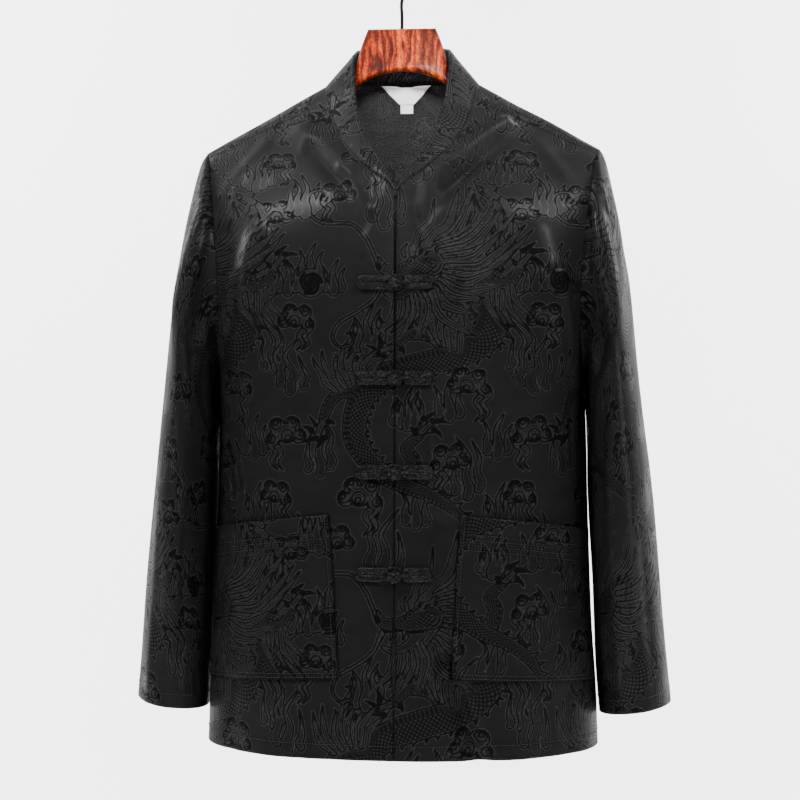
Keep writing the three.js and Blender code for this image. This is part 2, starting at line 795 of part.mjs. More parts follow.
// The ball of the knot and the neck that carries it over the loop to its own strips.
function knotGeometry(frogHeight) {
  const centre = onFront(0, frogHeight - knotDrop, knotLift);
  const ball = new THREE.SphereGeometry(knotRadius, 12, 8).translate(centre.x, centre.y, centre.z);
  const neckStart = onFront(neckFootX, frogHeight, strapHalfHeight);
  const neckMiddle = onFront(neckBendX, frogHeight - neckBendDrop, knotLift - neckBendDrop);
  const neckPath = new THREE.CatmullRomCurve3([neckStart, neckMiddle, centre]);
  const section = new THREE.Shape();
  section.absarc(0, 0, neckRadius, 0, Math.PI * 2);
  const neck = new THREE.ExtrudeGeometry(section, { steps: 5, extrudePath: neckPath, curveSegments: 4 });
  return solidOf(ball).add(solidOf(neck));
}

const loopStripStart = loopRadius + 3.3;
const knotStripLead = 2;
const loopPath = stripPath(0, loopStripStart, loopRadius, loopHalfWidth, 10);
const knotPath = stripPath(knotStripStart, knotStripStart + knotStripLead, stripOffset, strapHalfWidth, 4);
frogHeights.forEach((frogHeight, index) => {
  addPiece(`frog_loop_${index + 1}`, cordRing(loopPath, -1, frogHeight), 'frog');
  const strips = solidOf(cordRing(knotPath, 1, frogHeight));
  addPiece(`frog_knot_${index + 1}`, geometryOf(strips.add(knotGeometry(frogHeight))), 'frog');
});

// Blank label and tab inside the back neck
const labelClearance = 1.2;
const label = {
  topHeight: 723,
  bottomHeight: 704,
  topHalf: 28.5,
  bottomHalf: 8.5,
  tabHeight: 694,
  tabHalf: 7.5,
};

function labelGeometry(lowHeight, highHeight, halfWidthAt) {
  const face = (lift) => grid(2, 6, (share, up) => {
    const height = mix(lowHeight, highHeight, up);
    const x = (2 * share - 1) * halfWidthAt(up);
    return onBack(x, height, -clothThickness - labelClearance - lift);
  });
  return wallBetween(face(0), face(labelThickness));
}
const labelHalf = (up) => mix(label.bottomHalf, label.topHalf, up);
addPiece('neck_label', labelGeometry(label.bottomHeight, label.topHeight, labelHalf), 'label');
const tabTop = label.bottomHeight - seamGap;
addPiece('size_tab', labelGeometry(label.tabHeight, tabTop, () => label.tabHalf), 'label');

// Hanger: a bevelled board under the shoulders with a wire hook in its head
function hangerOutline() {
  const outline = new THREE.Shape();
  const { neckX, neckHeight, tipX } = shoulderLine;
  const shoulderSlope = (neckHeight - shoulderTipHeight) / (tipX - neckX);
  const armSpan = armDrop.tipX - armDrop.neckX;
  const under = (x) => mix(armDrop.atNeck, armDrop.atTip, (x - armDrop.neckX) / armSpan);
  const armTop = (x) => neckHeight - shoulderSlope * (x - neckX) - under(x);
  outline.moveTo(0, 726.6);
  outline.quadraticCurveTo(32, 725, 50, 709);
  outline.quadraticCurveTo(57, 684, 96, 668);
  outline.lineTo(192, 616);
  outline.quadraticCurveTo(203, 610, 208, 622);
  outline.quadraticCurveTo(211, 634, armDrop.tipX, armTop(armDrop.tipX));
  outline.lineTo(98, armTop(98));
  outline.quadraticCurveTo(84, armTop(84) - 1, 74, 702);
  outline.quadraticCurveTo(50, 708, 49.5, 730);
  outline.quadraticCurveTo(49, 744, 37, headTopHeight);
  outline.lineTo(0, headTopHeight);
  return outline;
}

function mirroredShape(half) {
  const points = half.getPoints(5);
  const mirrored = points.map((point) => new THREE.Vector2(-point.x, point.y)).reverse();
  const all = [...points, ...mirrored];
  return new THREE.Shape(all.filter((point, index) => {
    const next = all[(index + 1) % all.length];
    return point.distanceTo(next) > 0.4;
  }));
}

const board = new THREE.ExtrudeGeometry(mirroredShape(hangerOutline()), {
  depth: woodThickness - 2 * woodBevel,
  bevelEnabled: true,
  bevelThickness: woodBevel,
  bevelSize: woodBevel,
  bevelOffset: -woodBevel,
  bevelSegments: 2,
});
board.translate(0, 0, -(woodThickness - 2 * woodBevel) / 2);
board.rotateX(Math.PI / 2);
const bore = new THREE.CylinderGeometry(boreRadius, boreRadius, boreDepth * 2, 10);
bore.rotateX(Math.PI / 2);
bore.translate(0, 0, headTopHeight);
addPiece('hanger_wood', geometryOf(solidOf(board).subtract(solidOf(bore))), 'wood');

const hookCentreHeight = hookTopHeight - hookRadius;
const hookPath = new THREE.CatmullRomCurve3([
  new THREE.Vector3(0, 0, headTopHeight - boreDepth + shankInset),
  ...shankHeights.map((rise) => new THREE.Vector3(0, 0, headTopHeight + rise)),
  new THREE.Vector3(hookBend.x, 0, hookCentreHeight - hookRadius + hookBend.rise),
  ...hookTurns.map((degrees) => {
    const angle = THREE.MathUtils.degToRad(degrees);
    const rise = hookRadius * Math.sin(angle);
    return new THREE.Vector3(hookRadius * Math.cos(angle), 0, hookCentreHeight + rise);
  }),
], false, 'centripetal');
const wireSection = new THREE.Shape();
wireSection.absarc(0, 0, wireRadius, 0, Math.PI * 2);
addPiece('hanger_hook', new THREE.ExtrudeGeometry(wireSection, {
  steps: 34,
  extrudePath: hookPath,
  curveSegments: 4,
}), 'hook');

export default garment;
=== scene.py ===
import math

import bmesh
import bpy
import numpy as np
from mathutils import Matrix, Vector


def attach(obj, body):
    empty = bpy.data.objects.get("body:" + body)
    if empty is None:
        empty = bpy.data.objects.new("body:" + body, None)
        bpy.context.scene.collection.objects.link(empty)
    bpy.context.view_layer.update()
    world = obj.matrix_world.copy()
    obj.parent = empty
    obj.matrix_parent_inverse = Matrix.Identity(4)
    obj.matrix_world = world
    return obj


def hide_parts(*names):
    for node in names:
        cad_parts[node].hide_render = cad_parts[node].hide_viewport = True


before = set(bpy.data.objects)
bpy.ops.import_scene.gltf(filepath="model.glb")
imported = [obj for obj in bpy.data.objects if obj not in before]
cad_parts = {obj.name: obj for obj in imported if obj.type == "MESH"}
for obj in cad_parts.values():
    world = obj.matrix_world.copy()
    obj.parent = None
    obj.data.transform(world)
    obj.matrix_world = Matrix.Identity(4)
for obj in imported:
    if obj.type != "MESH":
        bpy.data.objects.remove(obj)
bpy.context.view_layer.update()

# A stand-collar shirt of figured black cloth on a wooden hanger. Sizes in the tables are millimetres,
# heights run up from the hem, +X is the wearer's left, -Y the front, as in the part's own source.


def addObject(name, data):
    made = bpy.data.objects.new(name, data)
    bpy.context.scene.collection.objects.link(made)
    return made


def sided(name, side):
    return name + ("Left" if side > 0 else "Right")


view = {"distance": 1800.0, "azimuth": 4.2, "height": 368.0, "sideways": 2.2, "frame": 872.0,
        "sensor": 36.0}
hanging = {"hookTop": 858.0, "wireRadius": 1.85}
hangHeight = hanging["hookTop"] - hanging["wireRadius"]


def makeCamera():
    data = bpy.data.cameras.new("camera")
    camera = addObject("camera", data)
    data.sensor_width = view["sensor"]
    data.lens = view["sensor"] * view["distance"] / view["frame"]
    data.clip_end = 60
    turn = math.radians(view["azimuth"])
    aimX = -view["sideways"] * math.cos(turn)
    aimY = -view["sideways"] * math.sin(turn)
    camera.location = (
        (aimX + view["distance"] * math.sin(turn)) / 1000,
        (aimY - view["distance"] * math.cos(turn)) / 1000,
        (view["height"] - hangHeight) / 1000,
    )
    camera.rotation_euler = (math.radians(90), 0, turn)
    bpy.context.scene.camera = camera


makeCamera()
print("camera placed")


# Curves and surfaces

def mix(start, end, share):
    return start + (end - start) * share


def smoothStep(low, high, value):
    share = np.clip((value - low) / (high - low), 0, 1)
    return share * share * (3 - 2 * share)


def columnAt(values, position):  # smooth line through a column of values, position counts its rows
    values = np.asarray(values, float)
    last = len(values) - 1
    steps = np.diff(values)
    before, after = steps[:-1], steps[1:]
    mean = (before + after) / 2
    inner = np.sign(mean) * np.minimum(np.abs(mean), 2 * np.minimum(np.abs(before), np.abs(after)))
    slopes = np.concatenate([steps[:1], np.where(before * after <= 0, 0, inner), steps[-1:]])
    held = np.clip(position, 0, last)
    index = np.minimum(np.floor(held).astype(int), last - 1)
    local = held - index
    squared, cubed = local**2, local**3
    return (values[index] * (2 * cubed - 3 * squared + 1) + slopes[index] * (cubed - 2 * squared + local)
            + values[index + 1] * (3 * squared - 2 * cubed) + slopes[index + 1] * (cubed - squared))


def bezier(start, first, second, end, share):
    rest = 1 - share
    return rest**3 * start + 3 * rest**2 * share * first + 3 * rest * share**2 * second + share**3 * end


def unit(vectors):
    return vectors / np.maximum(np.linalg.norm(vectors, axis=-1, keepdims=True), 1e-9)


def evenly(measure, spacing, low, high):  # values from low to high whose points lie evenly apart
    fine = np.linspace(low, high, 400)
    points = measure(fine)
    lengths = np.concatenate([[0], np.cumsum(np.linalg.norm(np.diff(points, axis=0), axis=1))])
    count = max(int(round(lengths[-1] / spacing)), 2)
    return np.interp(np.linspace(0, lengths[-1], count + 1), lengths, fine)


# The cut of the shirt

cut = {"underarm": 393.0, "shoulderTip": 638.0, "armholeFront": 60.0, "armholeBack": 64.0, "egg": 0.25,
       "sleeveLap": 0.9, "frontSlit": 0.05, "slitSpread": 1.5, "slitHeights": (54, 92, 110, 150),
       "slitShare": 0.12, "cloth": 1.3}

bodySections = [  # height, half width, half depth, fullness
    (0, 212, 120, 0.60), (60, 210, 118, 0.60), (130, 205.5, 115, 0.61), (210, 202.5, 112, 0.63),
    (290, 200, 108.5, 0.68), (350, 198, 106, 0.75), (393, 197, 104, 0.82)]
armholeWidths = [(0, 215), (44, 205), (75, 197), (103, 192), (136, 193), (163, 196), (180, 197)]

# Rows above the underarm: inner x, y, height, turn around the armhole, reach, bow, sweep, bow.
frontYoke = [
    (0.4, -103.5, 402, 160, 0.736, 0, 0.041, 63), (0.4, -103, 437, 138, 0.646, 0, 0.09, 44),
    (0.4, -100, 505, 100, 0.594, 0, 0.125, 30), (0.4, -92, 577, 75, 0.48, 0, 0.20, 24),
    (41, -70, 618, 55, 0.34, -4, 0.30, 21), (60, -50, 643, 40, 0.33, -1.3, 0.33, 15),
    (74, -30, 670, 27, 0.33, 1, 0.33, 8), (81.2, -16.2, 697.2, 12.4, 0.33, -1.2, 0.33, 4.2)]
backYoke = [
    (0, 104, 402, 160, 0.736, 0, 0.041, 62), (0, 103, 440, 138, 0.646, 0, 0.09, 42),
    (0, 100, 520, 103, 0.594, 0, 0.125, 26), (0, 94, 610, 80, 0.48, 0, 0.20, 24),
    (0, 84, 680, 62, 0.42, 0, 0.26, 24), (0, 72, 727, 46, 0.36, 0, 0.30, 18),
    (34, 66, 725.5, 34, 0.33, -6, 0.33, 20), (62, 52, 722, 24, 0.33, -7, 0.33, 17),
    (79, 28, 716, 12, 0.33, -4, 0.33, 9), (84, 3, 711, 0, 0.33, -1, 0.33, 1),
    (83, -7.5, 706.2, -6.5, 0.33, 0.3, 0.33, -1.8), (81.3, -15.9, 697.6, -12, 0.33, 1.2, 0.33, -4.2)]

# Folds: from x, height, to x, height, width, rise. The narrow ones are the crisp creases in the cloth.
frontFolds = [
    (112, 664, 44, 606, 11, 9), (104, 640, 50, 588, 10, -7), (-104, 655, -46, 606, 13, 5),
    (-92, 634, -50, 590, 10, -4), (34, 600, 30, 556, 9, -4), (-30, 598, -28, 552, 9, -4),
    (62, 500, 40, 470, 10, 4), (39, 345, 40, 305, 9, 3.5), (40, 305, 64, 255, 9, 3.5),
    (48, 236, 50, 96, 12, -5), (50, 98, 88, 2, 11, -8), (-46, 330, -58, 268, 14, 2.5),
    (146, 540, 172, 440, 12, 7), (128, 520, 158, 430, 10, -4), (-148, 536, -172, 440, 12, 7),
    (-130, 520, -158, 436, 10, -4), (120, 60, 128, -10, 20, 3), (-118, 70, -124, -10, 22, 3)]
frontCreases = [
    (96, 648, 54, 610, 4.5, 2.4), (84, 618, 40, 566, 6, -2.6), (36, 362, 37, 318, 3.6, 1.5),
    (37, 318, 58, 268, 3.6, 1.5), (30, 352, 33, 312, 4, -1.2), (44, 244, 49, 120, 4.5, -1.6),
    (50, 110, 86, 14, 5, -2.6), (66, 100, 98, 14, 6, 1.2), (30, 246, 44, 214, 7, -1.8),
    (172, 500, 184, 404, 6, 3.6), (160, 500, 176, 430, 5, -2.6), (-174, 496, -186, 402, 6, 3.6),
    (-162, 498, -177, 432, 5, -2.6), (-60, 610, -26, 566, 6, 3.0), (-96, 640, -52, 592, 6, -2.2),
    (-20, 572, -32, 520, 5, 2.2), (18, 568, 34, 516, 5, 2.4), (44, 512, 60, 470, 6, 2.4),
    (22, 498, 46, 476, 5, -2), (-24, 226, -46, 150, 8, -1.4), (-20, 130, -38, 40, 9, 1.2),
    (16, 140, 22, 30, 8, -1.0), (150, 640, 190, 585, 8, 1.6), (-146, 642, -188, 588, 8, 1.6),
    (-60, 52, -66, -10, 10, -1.6), (176, 60, 180, -10, 9, -1.6), (-172, 70, -178, -10, 9, -1.6)]
backFolds = [
    (96, 668, 132, 560, 18, 4), (-92, 664, -130, 552, 20, 4), (152, 500, 172, 418, 18, 4),
    (-150, 506, -172, 424, 18, 4), (70, 250, 92, 0, 24, -4), (-64, 230, -88, 0, 26, -4),
    (6, 190, 0, 0, 24, 3)]
backCreases = [
    (60, 690, 96, 620, 7, 1.8), (-66, 688, -100, 612, 7, 1.8), (0, 716, 2, 640, 9, -1.2),
    (118, 640, 152, 540, 8, -1.6), (-120, 636, -150, 532, 8, -1.6), (176, 470, 186, 396, 7, 2),
    (-178, 466, -187, 392, 7, 2), (22, 420, 34, 330, 12, -1.4), (-36, 430, -30, 320, 12, 1.4),
    (110, 150, 118, 0, 10, 1.8), (-108, 160, -120, 0, 10, -1.6), (36, 110, 40, 0, 9, -1.6),
    (-30, 120, -34, 0, 10, 1.6), (150, 300, 170, 210, 12, 1.6), (-148, 310, -168, 220, 12, -1.4)]


def armholePoint(turn, face):  # the armhole's edge, turn 0 at the shoulder tip and 180 underarm
    angle = np.radians(turn)
    middle = (cut["shoulderTip"] + cut["underarm"]) / 2
    halfHeight = (cut["shoulderTip"] - cut["underarm"]) / 2
    ahead = face * np.where(turn == 0, 1, np.sign(turn)) < 0
    depth = np.where(ahead, cut["armholeFront"], cut["armholeBack"])
    turns, widths = zip(*armholeWidths)
    place = np.interp(np.abs(turn), columnAt(turns, np.linspace(0, 6, 241)), np.linspace(0, 6, 241))
    forward = face * depth * np.sin(angle) * (1 - cut["egg"] * np.cos(angle))
    return np.stack([columnAt(widths, place), forward, middle + halfHeight * np.cos(angle)], axis=-1)


def panelColumns(yoke, face, innerX):  # each row's inner edge, two handles and outer edge
    rows = []
    for height, halfWidth, halfDepth, fullness in bodySections:
        rows.append((innerX, face * halfDepth, height, innerX + halfWidth * fullness, face * halfDepth,
                     halfWidth, face * halfDepth * fullness, halfWidth, 0, height))
    for x, y, height, turn, reach, innerBow, sweep, outerBow in yoke:
        outer = armholePoint(np.float64(turn), face)
        span = outer[0] - x
        rows.append((x, y, height, x + span * reach, y + face * innerBow,
                     outer[0] - span * sweep, outer[1] + face * outerBow, *outer))
    return np.array(rows, float)


def foldRise(folds, x, height):
    rise = np.zeros_like(x)
    for fromX, fromHeight, toX, toHeight, width, lift in folds:
        alongX, alongHeight = toX - fromX, toHeight - fromHeight
        share = ((x - fromX) * alongX + (height - fromHeight) * alongHeight) / (alongX**2 + alongHeight**2)
        held = np.clip(share, 0, 1)
        away = ((x - fromX - alongX * held)**2 + (height - fromHeight - alongHeight * held)**2) / width**2
        rise += lift * np.exp(-away)
    return rise


def ripple(x, height, shift):  # slow unevenness of hanging cloth, under a millimetre
    return (0.45 * np.sin(x / 23 + height / 61 + shift)
            + 0.35 * np.sin(x / 13.7 - height / 47 + 2.1 * shift)
            + 0.25 * np.sin(height / 19 + x / 71 + 3.7 * shift))


class Panel:  # one face of the body, across 0 at the middle and 1 at the side, position up its rows
    def __init__(self, yoke, face, innerX, folds, creases):
        self.columns = panelColumns(yoke, face, innerX)
        self.face, self.folds, self.creases = face, folds, creases
        self.last = len(self.columns) - 1
        self.seam = None

    def plain(self, side, across, position):
        across, position = np.broadcast_arrays(np.asarray(across, float), np.asarray(position, float))
        at = [columnAt(self.columns[:, index], position) for index in range(10)]
        x = bezier(at[0], at[3], at[5], at[7], across)
        y = bezier(at[1], at[4], at[6], at[8], across)
        return np.stack([side * x, y, mix(at[2], at[9], across)], axis=-1)

    def bareFacing(self, side, across, position):
        acrossWay = (self.plain(side, np.minimum(across + 0.01, 1), position)
                     - self.plain(side, np.maximum(across - 0.01, 0), position))
        upWay = (self.plain(side, across, np.minimum(position + 0.2, self.last))
                 - self.plain(side, across, np.maximum(position - 0.2, 0)))
        facing = unit(np.cross(acrossWay, upWay)) * -self.face * side
        onMiddle = (across <= 0) & (np.abs(self.plain(side, across * 0, position)[..., 0]) < 1)
        facing[..., 0] = np.where(onMiddle, 0, facing[..., 0])
        return unit(facing)

    def facing(self, side, across, position):
        across, position = np.broadcast_arrays(np.asarray(across, float), np.asarray(position, float))
        facing = self.bareFacing(side, across, position)
        if self.seam is not None:
            share = smoothStep(0.5, 0, self.last - position)[..., None]
            facing = unit(mix(facing, self.seam(side, across), share))
        return facing

    def point(self, side, across, position, lift=0):
        across, position = np.broadcast_arrays(np.asarray(across, float), np.asarray(position, float))
        point = self.plain(side, across, position)
        x, height = point[..., 0], point[..., 2]
        hold = smoothStep(0, 0.06, 1 - across) * smoothStep(0, 0.8, self.last - position)
        rise = foldRise(self.folds, x, height) * hold
        fine = foldRise(self.creases, x, height) + ripple(x, height, 1 + self.face)
        rise = rise + fine * hold * smoothStep(0, 0.03, across)
        return point + self.facing(side, across, position) * (rise + lift)[..., None]

    def place(self, x, height):  # across and position of points given as seen from the front or back
        x, height = np.broadcast_arrays(np.abs(np.asarray(x, float)), np.asarray(height, float))
        low, high = np.zeros(x.shape), np.full(x.shape, float(self.last))
        for step in range(18):
            position = (low + high) / 2
            near, far = np.zeros(x.shape), np.ones(x.shape)
            for inner in range(16):
                across = (near + far) / 2
                short = self.plain(1, across, position)[..., 0] < x
                near, far = np.where(short, across, near), np.where(short, far, across)
            under = self.plain(1, across, position)[..., 2] < height
            low, high = np.where(under, position, low), np.where(under, high, position)
        return across, position

    def on(self, x, height, lift=0):
        across, position = self.place(x, height)
        side = np.where(np.asarray(x, float) < 0, -1, 1)
        return np.where(side[..., None] > 0, self.point(1, across, position, lift),
                        self.point(-1, across, position, lift))


front = Panel(frontYoke, -1, cut["frontSlit"], frontFolds, frontCreases)
back = Panel(backYoke, 1, 0.0, backFolds, backCreases)


def shoulderFacing(side, across):  # both walls lean the same way where they meet at the shoulder
    return unit(front.bareFacing(side, across, np.full_like(across, front.last))
                + back.bareFacing(side, across, np.full_like(across, back.last)))


front.seam = back.seam = shoulderFacing


# The figured weave
# One repeat of the cloth, drawn as tapered strokes: a scaled dragon, flames, clouds and a
# pearl, the usual figures of such cloth. Millimetres of cloth, x to the right, y up.

weave = {"width": 256.0, "height": 372.0, "step": 1.0, "reach": 12.0}


class Weave:  # distances to the drawn figures, negative inside, each new one painted over the last
    def __init__(self):
        self.columns = int(weave["width"] / weave["step"])
        self.rows = int(weave["height"] / weave["step"])
        self.fields = {name: np.full((self.rows, self.columns), weave["reach"])
                       for name in ("odd", "even", "line", "scaly", "hairy")}
        self.fields["along"] = np.zeros((self.rows, self.columns))
        self.fields["across"] = np.full((self.rows, self.columns), 2.0)
        self.count = 0

    def stroke(self, kind, points, halves):
        # kind plain, scaly, hairy or line; half widths from start to end
        points = np.asarray(points, float)
        count = max(4 * (len(points) - 1), 2)
        places = np.linspace(0, len(points) - 1, count + 1)
        path = np.stack([columnAt(points[:, 0], places), columnAt(points[:, 1], places)], axis=-1)
        widths = np.interp(places / places[-1], np.linspace(0, 1, len(halves)), halves)
        margin = max(halves) + 6
        low = np.floor((path.min(0) - margin) / weave["step"]).astype(int)
        high = np.ceil((path.max(0) + margin) / weave["step"]).astype(int)
        columns, rows = np.arange(low[0], high[0] + 1), np.arange(low[1], high[1] + 1)
        x, y = np.meshgrid(columns * weave["step"], rows * weave["step"])
        near, along, across, run = np.full(x.shape, 99.0), np.zeros(x.shape), np.full(x.shape, 2.0), 0.0
        for index in range(count):
            start, way = path[index], path[index + 1] - path[index]
            length = max(float(np.hypot(*way)), 1e-6)
            share = np.clip(((x - start[0]) * way[0] + (y - start[1]) * way[1]) / length**2, 0, 1)
            offX, offY = x - start[0] - way[0] * share, y - start[1] - way[1] * share
            half, away = mix(widths[index], widths[index + 1], share), np.hypot(offX, offY)
            closer = away - half < near
            side = np.sign(way[0] * offY - way[1] * offX)
            along = np.where(closer, run + length * share, along)
            across = np.where(closer, side * away / half, across)
            near = np.minimum(near, away - half)
            run += length
        cells, fields = np.ix_(rows % self.rows, columns % self.columns), self.fields
        if kind == "line":
            fields["line"][cells] = np.minimum(fields["line"][cells], near)
            return
        own, other = ("odd", "even") if self.count % 2 else ("even", "odd")
        self.count += 1
        fields[own][cells] = np.minimum(fields[own][cells], near)
        for name in (other, "line"):
            fields[name][cells] = np.maximum(fields[name][cells], np.minimum(-near, 2.5))
        for name in ("scaly", "hairy"):
            if kind == name:
                fields[name][cells] = np.minimum(fields[name][cells], near)
                fields["along"][cells] = np.where(near < 3, along, fields["along"][cells])
                fields["across"][cells] = np.where(near < 3, across, fields["across"][cells])
            else:
                fields[name][cells] = np.maximum(fields[name][cells], -near)

    def curl(self, kind, x, y, radius, turns, start, half):  # a spiral that winds in
        angles = math.radians(start) + np.linspace(0, turns * 2 * math.pi, int(abs(turns) * 9) + 2)
        radii = np.linspace(radius, radius * 0.12, len(angles))
        self.stroke(kind, np.stack([x + radii * np.cos(angles), y + radii * np.sin(angles)], axis=-1), half)

    def flame(self, x, y, size, flip, tongues):  # each tongue: foot x, foot y, half width, length, sway
        for footX, footY, half, length, sway in tongues:
            rise = [(0, 0), (0.03, 0.12), (0.10 * sway - 0.02, 0.36), (-0.16 * sway, 0.62),
                    (0.45 * sway, 0.84), (sway, 1.0)]
            points = [(x + flip * size * (footX + dx), y + size * (footY + dy * length)) for dx, dy in rise]
            half = half * size
            self.stroke("plain", points, [half, 1.02 * half, 0.72 * half, 0.44 * half, 0.3 * half, 0.5])

    def cloud(self, x, y, size, flip):  # rolled heads over a trailing ribbon
        for spread in (0.34, 0.0):
            foot = [(x + flip * (way + spread) * size, y - drop * size)
                    for way, drop in ((0.1, 0), (0.7, 0.66), (0.3, 1.15), (0.62, 1.7), (0.2, 2.2))]
            self.stroke("plain", foot, [0.24 * size, 0.2 * size, 0.15 * size, 0.11 * size, 0.5])
        for offX, offY, radius, lean in (
                (0.86, -0.42, 0.40, 0.2), (-0.74, -0.2, 0.44, 2.6), (0.58, 0.34, 0.48, 1.2),
                (-0.36, 0.46, 0.46, 2.0), (-0.02, -0.08, 0.56, 4.4)):
            for share in (1.0, 0.62, 0.27):
                slide = radius * size * (1 - share) * 0.55
                middle = (x + flip * (offX * size + slide * math.cos(lean)),
                          y + offY * size + slide * math.sin(lean))
                self.stroke("plain", [middle, (middle[0] + 0.3, middle[1])], [radius * size * share] * 2)

    def locks(self, roots, tips, bend, count, half):  # a fan of locks of hair, one over the next
        roots, tips = np.asarray(roots, float), np.asarray(tips, float)
        for index in range(count):
            share = index / (count - 1)
            root, tip = (np.array([np.interp(share, np.linspace(0, 1, len(ends)), ends[:, axis])
                                   for axis in (0, 1)])
                         for ends in (roots, tips))
            tip = tip + (tip - root) * 0.14 * math.sin(index * 2.4)
            normal = np.array([root[1] - tip[1], tip[0] - root[0]])
            points = [root, mix(root, tip, 0.35) + bend * normal, mix(root, tip, 0.7) + 0.5 * bend * normal,
                      tip - 0.3 * bend * normal]
            self.stroke("hairy", points, [half, 1.1 * half, 0.72 * half, 0.4])

    def claw(self, x, y, turn, size):  # a foot with four toes, each with a dark hooked talon
        for spread, length in ((-52, 0.9), (130, 0.6), (24, 1.0), (-14, 1.15)):
            way, bent = math.radians(turn + spread), math.radians(turn + spread - 52)
            knee = (x + 0.5 * length * size * math.cos(way), y + 0.5 * length * size * math.sin(way))
            tip = (knee[0] + 0.55 * length * size * math.cos(bent),
                   knee[1] + 0.55 * length * size * math.sin(bent))
            self.stroke("plain", [(x, y), mix(np.array([x, y]), np.array(knee), 0.6), knee],
                        [0.14 * size, 0.10 * size, 0.13 * size])
            self.stroke("line", [knee, mix(np.array(knee), np.array(tip), 0.5) + 0.04 * size, tip],
                        [0.09 * size, 0.06 * size, 0.3])


tallFlame = ((-0.20, 0.06, 0.062, 0.60, 0.04), (0.20, 0.12, 0.075, 0.80, -0.12),
             (0.02, 0.0, 0.080, 0.98, -0.20))
fullFlame = ((-0.36, 0.10, 0.085, 0.72, 0.10), (0.36, 0.10, 0.085, 0.60, -0.06),
             (-0.17, 0.02, 0.11, 0.95, -0.14), (0.20, 0.0, 0.11, 0.80, 0.14),
             (0.02, -0.06, 0.12, 1.15, -0.16))
smallFlame = ((-0.26, 0.04, 0.12, 0.78, -0.10), (0.26, 0.04, 0.12, 0.70, 0.12),
              (0.0, -0.04, 0.15, 1.05, 0.16))


